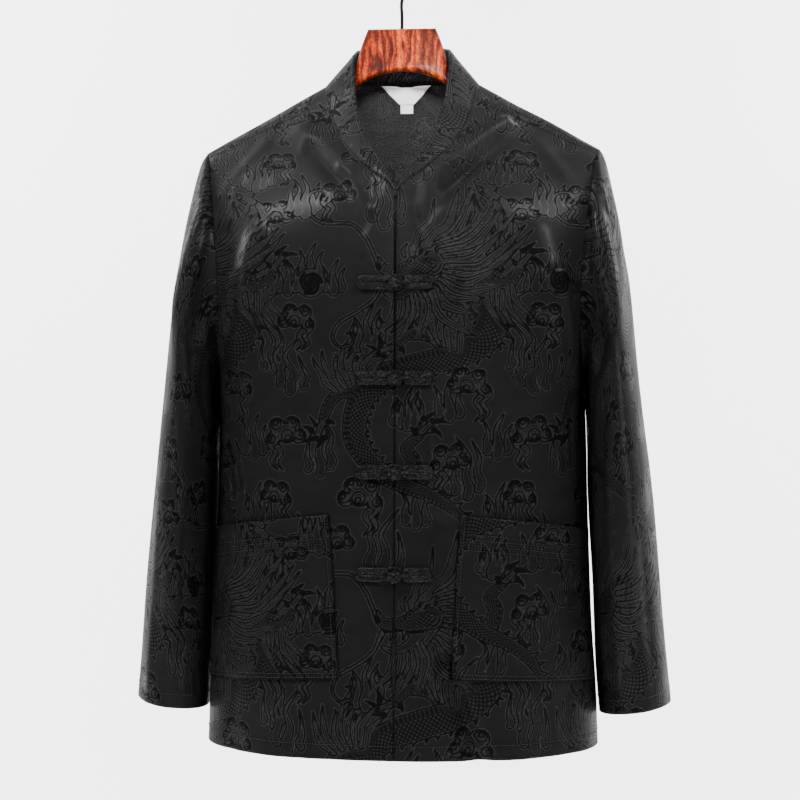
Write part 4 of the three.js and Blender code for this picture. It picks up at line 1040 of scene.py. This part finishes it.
pocket = {"innerBottom": 0.16, "innerTop": 0.188, "outerBottom": 0.86, "outerTop": 0.898,
          "innerTopHeight": 250, "outerTopHeight": 229, "innerBottomHeight": 82, "outerBottomHeight": 71,
          "clearance": 0.55, "gape": 2.2, "mouthRows": (18.5, 24.0, 29.4, 34.8), "sideStitch": 5.2,
          "bottomStitches": (2.4, 6.4), "spacing": 2.1, "mouthStart": 9.0, "edgeShade": 0.2, "width": 170,
          "tall": 168, "shifts": {1: (96, -60), -1: (40, 150)}}


def pocketPlace(share, up):  # across and position on the front for a share of the pocket each way
    rows = np.linspace(0, 6, 241)
    heights = columnAt([section[0] for section in bodySections], rows)
    low = np.interp(mix(pocket["innerBottomHeight"], pocket["outerBottomHeight"], share), heights, rows)
    high = np.interp(mix(pocket["innerTopHeight"], pocket["outerTopHeight"], share), heights, rows)
    inner = mix(pocket["innerBottom"], pocket["innerTop"], up)
    outer = mix(pocket["outerBottom"], pocket["outerTop"], up)
    return mix(inner, outer, share), mix(low, high, up)


def pocketSurface(side, share, up):
    across, position = pocketPlace(share, up)
    free = np.sin(np.pi * share) * smoothStep(0.80, 1, up)
    edge = np.minimum(np.minimum(share, 1 - share) * pocket["width"], up * pocket["tall"])
    uneven = np.sin(share * 9 + up * 4) * smoothStep(0, 30, edge) * smoothStep(1, 0.8, up)
    full = 0.5 * smoothStep(0, 9, edge) + 0.5 * uneven
    rise = pocket["clearance"] + cut["cloth"] + pocket["gape"] * free + full
    return front.point(side, across, position, rise), front.facing(side, across, position)


def makePocket(side):
    share, up = np.meshgrid(*(np.linspace(0, 1, int(pocket[way] / pocket["spacing"]))
                              for way in ("width", "tall")))
    points, facing = pocketSurface(side, share, up)
    fromSide, fromBottom = lengthsAlong(points, 1), lengthsAlong(points, 0)
    width, tall = fromSide[:, -1:], fromBottom[-1:]
    inside = np.where(fromSide > pocket["mouthStart"], 0, noSeam)
    seams = [np.abs(tall - fromBottom - row) + inside for row in pocket["mouthRows"]]
    seams += [np.abs(fromBottom - row) for row in pocket["bottomStitches"]]
    seams += [np.abs(fromSide - pocket["sideStitch"]), np.abs(width - fromSide - pocket["sideStitch"])]
    # painted shade: a thin dark line along the pocket's sides and bottom, where its edge would shade the
    # front
    seams += [fromSide + pocket["edgeShade"], width - fromSide + pocket["edgeShade"],
              fromBottom + pocket["edgeShade"]]
    grid = (points, side * fromSide, fromBottom, facing, np.minimum.reduce(seams))
    first = int(np.argmax(fromSide[-1] > pocket["mouthStart"]))
    lines = [lineOn(points[::-1], facing[::-1], (tall - fromBottom)[::-1], row, first)
             for row in pocket["mouthRows"]]
    lines += [lineOn(points, facing, fromBottom, row) for row in pocket["bottomStitches"]]
    turned = [np.swapaxes(part, 0, 1) for part in (points, facing, fromSide, width - fromSide)]
    lines.append(lineOn(turned[0], turned[1], turned[2], pocket["sideStitch"]))
    lines.append(lineOn(turned[0][::-1], turned[1][::-1], turned[3][::-1], pocket["sideStitch"]))
    stitchLines[sided("stitchesPocket", side)] = lines
    return addCloth(sided("pocketPatch", side), [grid], pocket["shifts"][side])


pocketPieces = {side: makePocket(side) for side in (1, -1)}
for piece in pocketPieces.values():
    dress(piece, clothMaterial, reverseMaterial)
print("pockets made")


# Frogs

frog = {"heights": (489, 390.6, 294, 189.4), "reach": 36.0, "halfWidth": 3.6, "halfHeight": 1.9,
        "strapGap": 0.3, "loopRadius": 6.2, "loopHalfWidth": 2.0, "knotRadius": 7.2, "knotLift": 8.2,
        "knotDrop": 1.6, "sides": 16, "strandRadius": 1.75, "square": 0.16, "flat": 0.62, "clearance": 0.35,
        "tilt": 0.95, "lean": 24, "neckRadius": 1.9, "neckStart": (17.0, 2.2),
        "neckMiddle": (9.0, -0.4, -0.6), "coreInset": 1.7, "loopMouth": 3.3, "knotMouth": 2.0}


def satinCord():  # bias strips of the same cloth, so only specks of its figures show
    cord = Finish("satin_cord")
    place = cord.place()
    cloud = cord.noise(place, 420.0, 2.0)
    ply = cord.noise(place, (1500, 900, 900), 1.0, turn=(0, 0.7, 0.3))
    speck = cord.noise(place, (520, 300, 760), 2.0, turn=(0, 0.6, 0))
    colour = cord.ramp(cloud * 0.2 + ply * 0.2 + speck * 0.6, [
        (0.36, (0.0005, 0.0005, 0.0006)), (0.50, (0.0044, 0.0042, 0.0045)),
        (0.63, (0.038, 0.0368, 0.0385))])
    return cord.finish({"Base Color": colour, "Roughness": 0.6, "Coat Weight": speck * 0.4,
                        "Coat Roughness": 0.3, "Normal": cord.bump(ply * 0.0006 + speck * 0.0003, 1.0, 0.8),
                        "Specular IOR Level": 0.08})


cordMaterial = satinCord()


def stripPath(innerCentre, innerEnd, endRadius, endHalfWidth, endSteps):
    # one closed turn of cord, seen from the front
    offset = frog["halfWidth"] + frog["strapGap"] / 2
    outerCentre = frog["reach"] - offset
    path = []

    def arc(centre, radius, first, last, steps, half):
        for step in range(steps + 1):
            angle = mix(first, last, step / steps)
            square = 1 + frog["square"] * math.sin(2 * angle)**2
            path.append((centre + radius * square * math.cos(angle), radius * square * math.sin(angle),
                         half))

    def straight(fromX, toX, height, fromHalf, toHalf):
        for step in range(1, 12):
            share = step / 12
            path.append((mix(fromX, toX, share), height, mix(fromHalf, toHalf, share)))

    arc(outerCentre, offset, -math.pi / 2, math.pi / 2, 12, frog["halfWidth"])
    straight(outerCentre, innerEnd, offset, frog["halfWidth"], frog["halfWidth"])
    path.append((innerEnd, offset, frog["halfWidth"]))
    opening = math.asin(min(offset / endRadius, 1))
    arc(innerCentre, endRadius, opening, 2 * math.pi - opening, endSteps, endHalfWidth)
    path.append((innerEnd, -offset, frog["halfWidth"]))
    straight(innerEnd, outerCentre, -offset, frog["halfWidth"], frog["halfWidth"])
    return np.array(path)


def cordRing(path, side, height):
    ahead, behind = np.roll(path, -1, axis=0), np.roll(path, 1, axis=0)
    way = unit((ahead - behind)[:, :2])
    angle = (np.arange(frog["sides"]) + 0.5) / frog["sides"] * 2 * math.pi
    wide, tall = (np.sign(part) * np.abs(part)**frog["flat"] for part in (np.cos(angle), np.sin(angle)))
    out = wide[None] * path[:, 2:]
    lift = frog["clearance"] + frog["halfHeight"] * (1 + tall[None] + 0 * out)
    x = side * (path[:, :1] - way[:, 1:] * out)
    points = front.on(x, height + path[:, 1:2] + way[:, :1] * out, lift)
    return points.reshape(-1, 3), gridFaces(len(path), frog["sides"], True, True)


def tube(path, radii, sides, closed=False):  # a round cord along points
    way = np.roll(path, -1, axis=0) - np.roll(path, 1, axis=0) if closed else np.gradient(path, axis=0)
    way = unit(way)
    reference = np.array([0.3, 0.2, 1.0]) if abs(way[0, 2]) < 0.9 else np.array([1.0, 0.2, 0.1])
    firsts = []
    for index in range(len(path)):
        reference = unit(reference - way[index] * (reference @ way[index]))
        firsts.append(reference)
    firsts = np.array(firsts)
    if closed:  # shares out the twist that is left when the cord comes round
        last = unit(firsts[-1] - way[0] * (firsts[-1] @ way[0]))
        twist = math.atan2(np.cross(last, firsts[0]) @ way[0], last @ firsts[0])
        turns = np.linspace(0, twist, len(path))[:, None]
        firsts = firsts * np.cos(turns) + np.cross(way, firsts) * np.sin(turns)
    seconds = np.cross(way, firsts)
    angle = np.arange(sides) / sides * 2 * math.pi
    around = (firsts[:, None] * np.cos(angle)[None, :, None]
              + seconds[:, None] * np.sin(angle)[None, :, None])
    points = (path[:, None] + around * np.broadcast_to(radii, len(path))[:, None, None]).reshape(-1, 3)
    if closed:
        return points, gridFaces(len(path), sides, True, True).tolist()
    faces = gridFaces(len(path), sides, True).tolist()
    faces += [list(range(sides))[::-1], list(range((len(path) - 1) * sides, len(path) * sides))]
    return points, faces


def together(parts):
    points, faces, count = [], [], 0
    for partPoints, partFaces in parts:
        points.append(partPoints)
        faces += [[int(corner) + count for corner in face] for face in partFaces]
        count += len(partPoints)
    return np.concatenate(points), faces


def outwards(piece):
    mend(piece.data, turned=True)
    return piece


def knotParts(height):  # a button knot: one cord woven round a small core
    centre = front.on(0.0, height - frog["knotDrop"], np.float64(frog["knotLift"]))
    strand = frog["strandRadius"]
    turn = np.linspace(0, 2 * math.pi, 181)[:-1]
    tilt = frog["tilt"] * np.sin(4 * turn)
    radius = frog["knotRadius"] - strand + 0.25 * np.cos(12 * turn)
    swing = 3 * turn
    woven = np.stack([radius * np.cos(tilt) * np.cos(swing), radius * np.sin(tilt),
                      radius * np.cos(tilt) * np.sin(swing)], axis=-1)
    lean = math.radians(frog["lean"])
    leant = np.stack([woven[:, 0] * math.cos(lean) - woven[:, 1] * math.sin(lean),
                      woven[:, 2], woven[:, 0] * math.sin(lean) + woven[:, 1] * math.cos(lean)], axis=-1)
    startX, startLift = frog["neckStart"]
    middleX, drop, lower = frog["neckMiddle"]
    start = front.on(startX, height, np.float64(startLift))
    middle = front.on(middleX, height + drop, np.float64(frog["knotLift"] + lower))
    share = np.linspace(0, 1, 12)[:, None]
    neck = (1 - share)**2 * start + 2 * share * (1 - share) * middle + share**2 * centre
    angles = np.linspace(0, math.pi, 13)
    coreRadius = frog["knotRadius"] - frog["coreInset"]
    core = tube(centre + np.stack([angles * 0, angles * 0, -np.cos(angles) * coreRadius], axis=-1),
                np.maximum(np.sin(angles) * coreRadius, 0.05), 16)
    return [tube(centre + leant, strand, 8, closed=True), tube(neck, frog["neckRadius"], 10), core]


frogPieces = {}
offset = frog["halfWidth"] + frog["strapGap"] / 2
knotStart = frog["loopRadius"] + frog["loopHalfWidth"] + frog["strapGap"] + offset + frog["halfWidth"]
loopPath = stripPath(0, frog["loopRadius"] + frog["loopMouth"], frog["loopRadius"],
                     frog["loopHalfWidth"], 30)
knotPath = stripPath(knotStart, knotStart + frog["knotMouth"], offset, frog["halfWidth"], 12)
for index, height in enumerate(frog["heights"]):
    loop = meshFrom(f"frogLoop{index + 1}", *cordRing(loopPath, -1, height))
    knot = meshFrom(f"frogKnot{index + 1}", *together([cordRing(knotPath, 1, height), *knotParts(height)]))
    for piece, node in ((loop, f"frog_loop_{index + 1}"), (knot, f"frog_knot_{index + 1}")):
        frogPieces[node] = dress(outwards(piece), cordMaterial)
print("frogs made")


# Blank label and size tab

label = {"topHeight": 723, "bottomHeight": 704, "topHalf": 28.5, "bottomHalf": 8.5, "tabHeight": 694,
         "tabHalf": 7.5, "inset": 3.1, "curl": 0.175, "tabGap": 0.35, "tape": 0.6, "columns": 29,
         "rows": 11}


def labelFinish():
    tape = Finish("woven_tape")
    place = tape.place()
    threads = tape.noise(place, (1400, 1400, 420), 2.0)
    cloud = tape.noise(place, 90.0, 3.0)
    colour = tape.ramp(threads * 0.5 + cloud * 0.5,
                       [(0.3, (0.86, 0.855, 0.84)), (0.7, (0.95, 0.945, 0.935))])
    return tape.finish({"Base Color": colour, "Roughness": 0.62 + threads * 0.2,
                        "Normal": tape.bump(threads * 0.0003, 1.0, 0.6), "Specular IOR Level": 0.3})


def makeLabel(name, low, high, lowHalf, highHalf):
    share, up = np.meshgrid(np.linspace(0, 1, label["columns"]), np.linspace(0, 1, label["rows"]))
    x = (2 * share - 1) * mix(lowHalf, highHalf, up)
    curl = label["curl"] * np.sin(share * 5 + up * 3)
    points = back.on(x, mix(low, high, up), curl - label["inset"])
    piece = meshFrom(name, points.reshape(-1, 3), gridFaces(label["rows"], label["columns"]))
    wall = piece.modifiers.new("wall", "SOLIDIFY")
    wall.thickness, wall.offset = label["tape"] / 1000, 0
    return dress(piece, labelMaterial)


labelMaterial = labelFinish()
labelPiece = makeLabel("neckLabelTape", label["bottomHeight"], label["topHeight"], label["bottomHalf"],
                       label["topHalf"])
tabPiece = makeLabel("sizeTabTape", label["tabHeight"], label["bottomHeight"] - label["tabGap"],
                     label["tabHalf"], label["tabHalf"])
print("label made")


# Hanger

hanger = {"thickness": 12.0, "round": 4.2, "headTop": 772.0, "shoulder": 711.0, "neckX": 84.0,
          "tipX": 215.0, "hookRadius": 24.0, "shankFoot": 757.0, "wireSides": 20, "armInset": (4.9, 2.9),
          "armLength": 121.0}


def woodFinish():
    wood = Finish("stained_wood")
    place = wood.place()
    bent = wood.noise(place, (42, 42, 22), 3.0, 0.6)
    grainPlace = wood.stretched(place, (60, 40, 16), (0, 0.16, 0))
    wander = wood.noise(grainPlace, 1.4, 4.0, 0.65)
    rings = wood.node("ShaderNodeTexWave", {"wave_type": "BANDS", "bands_direction": "X"},
                      {"Vector": grainPlace, "Scale": 0.6, "Distortion": 16.0, "Detail": 4.0,
                       "Detail Scale": 1.2, "Detail Roughness": 0.6}, output=1)
    speckle = wood.noise(place, (620, 620, 420), 3.0, 0.6)
    knotPlace = wood.stretched(place, (34, 30, 26))
    knots = wood.node("ShaderNodeTexVoronoi", {}, {"Vector": knotPlace, "Scale": 1.0, "Randomness": 1.0})
    sideways = wood.axis(place, 0)
    stain = sideways.size() * 15.0 + (bent - 0.5) * 1.5
    colour = wood.ramp(rings * 0.16 + wander * 0.62 + speckle * 0.30 - stain.held() * 0.10, [
        (0.31, (0.012, 0.0006, 0.0001)), (0.44, (0.095, 0.0056, 0.0003)), (0.55, (0.290, 0.0240, 0.0008)),
        (0.70, (0.640, 0.1150, 0.0036))])
    colour = wood.blend(stain.band(0.40, 0.10, 0.2) * 0.75, colour, (0.030, 0.0022, 0.0004))
    colour = wood.blend(knots.within(0.16, 0.12) * 0.75, colour, (0.018, 0.0014, 0.0003))
    colour = wood.blend(speckle.within(0.40, 0.08) * 0.4, colour, (0.060, 0.0060, 0.0012))
    return wood.finish({"Base Color": colour, "Roughness": 0.42 + speckle * 0.14, "Coat Weight": 0.03,
                        "Coat Roughness": 0.14, "Specular IOR Level": 0.08,
                        "Normal": wood.bump(speckle * 0.0002 + rings * 0.0001, 1.0, 0.35)})


def hookFinish():
    paint = Finish("black_wire")
    place = paint.place()
    worn = paint.noise(place, 160.0, 3.0)
    colour = paint.blend(worn.within(0.36, 0.12) * 0.4, (0.0030, 0.0030, 0.0032), (0.010, 0.010, 0.011))
    return paint.finish({"Base Color": colour, "Roughness": 0.5 + worn * 0.2, "Specular IOR Level": 0.08,
                         "Normal": paint.bump(worn * 0.0002, 1.0, 0.2)})


def hangerOutline():
    slope = (hanger["shoulder"] - cut["shoulderTip"]) / (hanger["tipX"] - hanger["neckX"])

    def armTop(x):
        away = x - hanger["neckX"]
        return hanger["shoulder"] - slope * away - mix(*hanger["armInset"], away / hanger["armLength"])

    half = [(0, 726.6)]

    def bend(controlX, controlHeight, endX, endHeight):
        start = half[-1]
        for share in np.linspace(0, 1, 15)[1:]:
            rest = 1 - share
            half.append((rest**2 * start[0] + 2 * rest * share * controlX + share**2 * endX,
                         rest**2 * start[1] + 2 * rest * share * controlHeight + share**2 * endHeight))

    bend(32, 725, 50, 709)
    bend(57, 684, 96, 668)
    half.append((192, 616))
    bend(203, 610, 208, 622)
    bend(211, 634, 205, armTop(205))
    half.append((98, armTop(98)))
    bend(84, armTop(84) - 1, 74, 702)
    bend(50, 708, 49.5, 730)
    bend(49, 744, 37, hanger["headTop"])
    return half + [(-x, height) for x, height in half[:0:-1]]


def makeHanger():
    outline = hangerOutline()
    data = bpy.data.curves.new("hangerBoard", "CURVE")
    data.dimensions, data.fill_mode = "2D", "BOTH"
    data.bevel_depth, data.bevel_resolution, data.offset = hanger["round"] / 1000, 4, -hanger["round"] / 1000
    data.extrude = (hanger["thickness"] / 2 - hanger["round"]) / 1000
    line = data.splines.new("POLY")
    line.points.add(len(outline) - 1)
    for point, (x, height) in zip(line.points, outline):
        point.co = (x / 1000, (height - hangHeight) / 1000, 0, 1)
    line.use_cyclic_u = True
    drawn = addObject("hangerBoardLine", data)
    mesh = bpy.data.meshes.new_from_object(drawn.evaluated_get(bpy.context.evaluated_depsgraph_get()))
    bpy.data.objects.remove(drawn)
    points = np.array([vertex.co for vertex in mesh.vertices])
    mesh.vertices.foreach_set("co", np.column_stack([points[:, 0], -points[:, 2], points[:, 1]]).ravel())
    mesh.materials.clear()
    mend(mesh, joined=True, turned=True)
    return addObject("hangerBoard", mesh)


def makeHook():
    centre, radius = hanging["hookTop"] - hanger["hookRadius"], hanger["hookRadius"]
    knots = [(0, hanger["shankFoot"]), (0, hanger["headTop"] + 12), (0, hanger["headTop"] + 31),
             (5, centre - radius + 1.5)]
    knots += [(radius * math.cos(math.radians(turn)), centre + radius * math.sin(math.radians(turn)))
              for turn in (-55, -20, 20, 55, 90, 125, 160, 195)]
    knots = np.array(knots, float)
    ends = np.concatenate([[2 * knots[0] - knots[1]], knots, [2 * knots[-1] - knots[-2]]])
    path = []
    for index in range(1, len(ends) - 2):  # centripetal spline through the knots
        times = [0.0]
        for step in range(3):
            times.append(times[-1] + math.sqrt(np.linalg.norm(ends[index + step] - ends[index + step - 1])))
        for time in np.linspace(times[1], times[2], 12, endpoint=False):
            near = [ends[index - 1 + step] * (times[step + 1] - time) / (times[step + 1] - times[step])
                    + ends[index + step] * (time - times[step]) / (times[step + 1] - times[step])
                    for step in range(3)]
            far = [near[step] * (times[step + 2] - time) / (times[step + 2] - times[step])
                   + near[step + 1] * (time - times[step]) / (times[step + 2] - times[step])
                   for step in range(2)]
            path.append(far[0] * (times[2] - time) / (times[2] - times[1])
                        + far[1] * (time - times[1]) / (times[2] - times[1]))
    path.append(ends[-2])
    path = np.array([(x, 0, height) for x, height in path])
    radii = np.full(len(path), hanging["wireRadius"])
    radii[-1] *= 0.55
    return meshFrom("hangerWire", *tube(path, radii, hanger["wireSides"]))


hangerPiece = dress(makeHanger(), woodFinish())
hookPiece = dress(outwards(makeHook()), hookFinish())
print("hanger made")


# Stitches, run along the lines that each sewn piece has kept

stitch = {"pitch": 3.1, "length": 2.4, "radius": 0.42, "lift": 0.18, "sides": 5, "thinning": 2.0,
          "sinking": 4.0, "smallest": 0.86, "largest": 1.08}


def stitchTree(material):
    tree = bpy.data.node_groups.new("stitching", "GeometryNodeTree")
    sockets = {}
    for name, kind in (("Lines", "Geometry"), ("Pitch", "Float"), ("Length", "Float"), ("Seed", "Int"),
                       ("Thread Radius", "Float"), ("Thread Sides", "Int"), ("Stitches", "Geometry")):
        made = tree.interface.new_socket(name=name, in_out="OUTPUT" if name == "Stitches" else "INPUT",
                                         socket_type="NodeSocket" + kind)
        sockets[name] = made.identifier

    maker = Maker(tree)
    node = maker.node
    given = {socket.name: Value(maker, socket) for socket in tree.nodes.new("NodeGroupInput").outputs}
    radius, length = given["Thread Radius"], given["Length"]
    curve = node("GeometryNodeMeshToCurve", {}, {"Mesh": given["Lines"]})
    evened = node("GeometryNodeResampleCurve", {"mode": "LENGTH"},
                  {"Curve": curve, "Length": given["Pitch"]})
    facing = node("GeometryNodeInputNamedAttribute", {"data_type": "FLOAT_VECTOR"}, {"Name": "facing"})
    turned = node("FunctionNodeAlignRotationToVector", {"axis": "Z"},
                  {"Vector": node("GeometryNodeInputTangent")})
    turned = node("FunctionNodeAlignRotationToVector", {"axis": "X", "pivot_axis": "Z"},
                  {"Rotation": turned, "Vector": facing})
    thread = node("GeometryNodeMeshCylinder", {}, {"Vertices": given["Thread Sides"], "Side Segments": 2,
                                                   "Radius": radius, "Depth": length})
    place = node("GeometryNodeInputPosition")
    x, y, z = (node("ShaderNodeSeparateXYZ", {}, {0: place}, output) for output in range(3))
    bent = (z / length) * (z / length)  # a quarter at either end, where the thread thins and sinks in
    thin = 1 - bent * stitch["thinning"]
    sunk = x * thin - bent * radius * stitch["sinking"]
    shaped = node("ShaderNodeCombineXYZ", {}, {0: sunk, 1: y * thin, 2: z})
    thread = node("GeometryNodeSetPosition", {}, {"Geometry": thread, "Position": shaped})
    size = node("FunctionNodeRandomValue", {"data_type": "FLOAT"},
                {"Min": stitch["smallest"], "Max": stitch["largest"], "Seed": given["Seed"]}, output=1)
    laid = node("GeometryNodeInstanceOnPoints", {},
                {"Points": evened, "Instance": thread, "Rotation": turned, "Scale": size})
    solid = node("GeometryNodeRealizeInstances", {}, {"Geometry": laid})
    sewn = node("GeometryNodeSetMaterial", {}, {"Geometry": solid, "Material": material})
    node("NodeGroupOutput", {}, {0: sewn})
    return tree, sockets


def threadFinish():
    thread = Finish("black_thread")
    place = thread.place()
    twist = thread.noise(place, (3000, 3000, 3000), 1.0)
    colour = thread.blend(twist, (0.012, 0.0115, 0.012), (0.050, 0.049, 0.050))
    return thread.finish({"Base Color": colour, "Roughness": 0.5 + twist * 0.2, "Coat Weight": twist * 0.3,
                          "Coat Roughness": 0.35, "Normal": thread.bump(twist * 0.0002, 1.0, 0.6),
                          "Specular IOR Level": 0.15})


def sewLines(name, lines, tree, sockets, seed):
    points, facings, edges = [], [], []
    for path, facing in lines:
        first = sum(len(part) for part in points)
        edges += [(first + index, first + index + 1) for index in range(len(path) - 1)]
        points.append(path + facing * stitch["lift"])
        facings.append(facing)
    piece = meshFrom(name, np.concatenate(points), [], edges)
    facing = piece.data.attributes.new("facing", "FLOAT_VECTOR", "POINT")
    facing.data.foreach_set("vector", np.concatenate(facings).astype(np.float32).ravel())
    sewing = piece.modifiers.new("stitching", "NODES")
    sewing.node_group = tree
    for label, value in (("Pitch", stitch["pitch"] / 1000), ("Length", stitch["length"] / 1000),
                         ("Thread Radius", stitch["radius"] / 1000), ("Thread Sides", stitch["sides"]),
                         ("Seed", seed)):
        sewing[sockets[label]] = value
    made = bpy.data.meshes.new_from_object(piece.evaluated_get(bpy.context.evaluated_depsgraph_get()))
    piece.modifiers.clear()
    piece.data = made
    made.name = name
    return piece


threadMaterial = threadFinish()
tree, sockets = stitchTree(threadMaterial)
stitchPieces = {}
for seed, (name, lines) in enumerate(sorted(stitchLines.items())):
    stitchPieces[name] = sewLines(name, lines, tree, sockets, seed)
print("stitches sewn:", sum(len(piece.data.polygons) for piece in stitchPieces.values()), "faces")


# Floor, backdrop and studio light

studio = {"floor": -1.42, "near": -5.0, "far": 3.2, "half": 6.0, "wall": 5.0, "bend": 1.2, "white": 0.92,
          "world": 0.13}


def makeFloor():
    profile = [(studio["near"], studio["floor"]), (studio["far"] - studio["bend"], studio["floor"])]
    for turn in np.linspace(0, math.pi / 2, 17)[1:]:
        profile.append((studio["far"] - studio["bend"] + studio["bend"] * math.sin(turn),
                        studio["floor"] + studio["bend"] * (1 - math.cos(turn))))
    profile.append((studio["far"], studio["wall"]))
    points = [(x, y, z) for y, z in profile for x in (-studio["half"], studio["half"])]
    mesh = bpy.data.meshes.new("floor")
    mesh.from_pydata(points, [], gridFaces(len(profile), 2).tolist())
    mesh.shade_smooth()
    floor = addObject("floor", mesh)
    paper = Finish("white_paper")
    place = paper.place()
    tone = paper.noise(place, 2.0, 2.0)
    white = studio["white"]
    colour = paper.blend(tone, (white, white, white), (white + 0.02, white + 0.02, white + 0.02))
    dress(floor, paper.finish({"Base Color": colour, "Roughness": 0.9, "Specular IOR Level": 0.1}))
    return floor


def addLight(name, place, aim, size, power, spread):
    data = bpy.data.lights.new(name, "AREA")
    data.shape, data.size, data.size_y, data.energy = "RECTANGLE", size[0], size[1], power
    data.spread = math.radians(spread)
    light = addObject(name, data)
    light.location = place
    direction = np.array(aim, float) - np.array(place, float)
    light.rotation_euler = Vector(direction).to_track_quat("-Z", "Y").to_euler()


floor = makeFloor()
lights = [  # name, place, aim, size, power, spread
    ("keyLight", (-1.0, -1.15, 1.2), (0, 0, -0.2), (0.5, 0.6), 42, 180),
    ("fillLight", (1.25, -1.15, 0.95), (0, 0, -0.2), (0.5, 0.7), 26, 180),
    ("lowLight", (0.5, -2.7, 0.3), (0, 0, -0.35), (0.6, 0.8), 4.5, 180),
    ("frontLight", (0.15, -2.6, 0.16), (0, 0, -0.10), (0.3, 0.3), 0.68, 8),
    ("backdropLightLeft", (2.4, 1.0, 1.2), (0.9, 3.2, -0.2), (1.5, 2.4), 350, 180),
    ("backdropLightRight", (-2.4, 1.0, 1.2), (-0.9, 3.2, -0.2), (1.5, 2.4), 350, 180),
    ("rearLight", (0.4, 2.2, 1.1), (0, 0, -0.5), (1.4, 1.4), 3, 180)]
for row in lights:
    addLight(*row)
world = bpy.data.worlds.new("studio")
bpy.context.scene.world = world
world.use_nodes = True
world.node_tree.nodes["Background"].inputs[0].default_value = (1, 1, 1, 1)
world.node_tree.nodes["Background"].inputs[1].default_value = studio["world"]
print("studio lit")


# Each piece attached to the root; where it stands for an imported part, that part is hidden

def settle(piece, slot, node=None):
    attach(piece, "root")
    if node:
        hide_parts(node)


for piece, slot, node in (
        (backPiece, "cloth", "back"), (collarPiece, "cloth", "collar"),
        (frontPieces[1], "cloth", "front_left"), (frontPieces[-1], "cloth", "front_right"),
        (sleevePieces[1], "cloth", "sleeve_left"), (sleevePieces[-1], "cloth", "sleeve_right"),
        (pocketPieces[1], "cloth", "pocket_left"), (pocketPieces[-1], "cloth", "pocket_right"),
        (labelPiece, "label", "neck_label"), (tabPiece, "label", "size_tab"),
        (hangerPiece, "wood", "hanger_wood"), (hookPiece, "hook", "hanger_hook")):
    settle(piece, slot, node)
for node, piece in frogPieces.items():
    settle(piece, "trim", node)
for piece in stitchPieces.values():
    settle(piece, "trim")
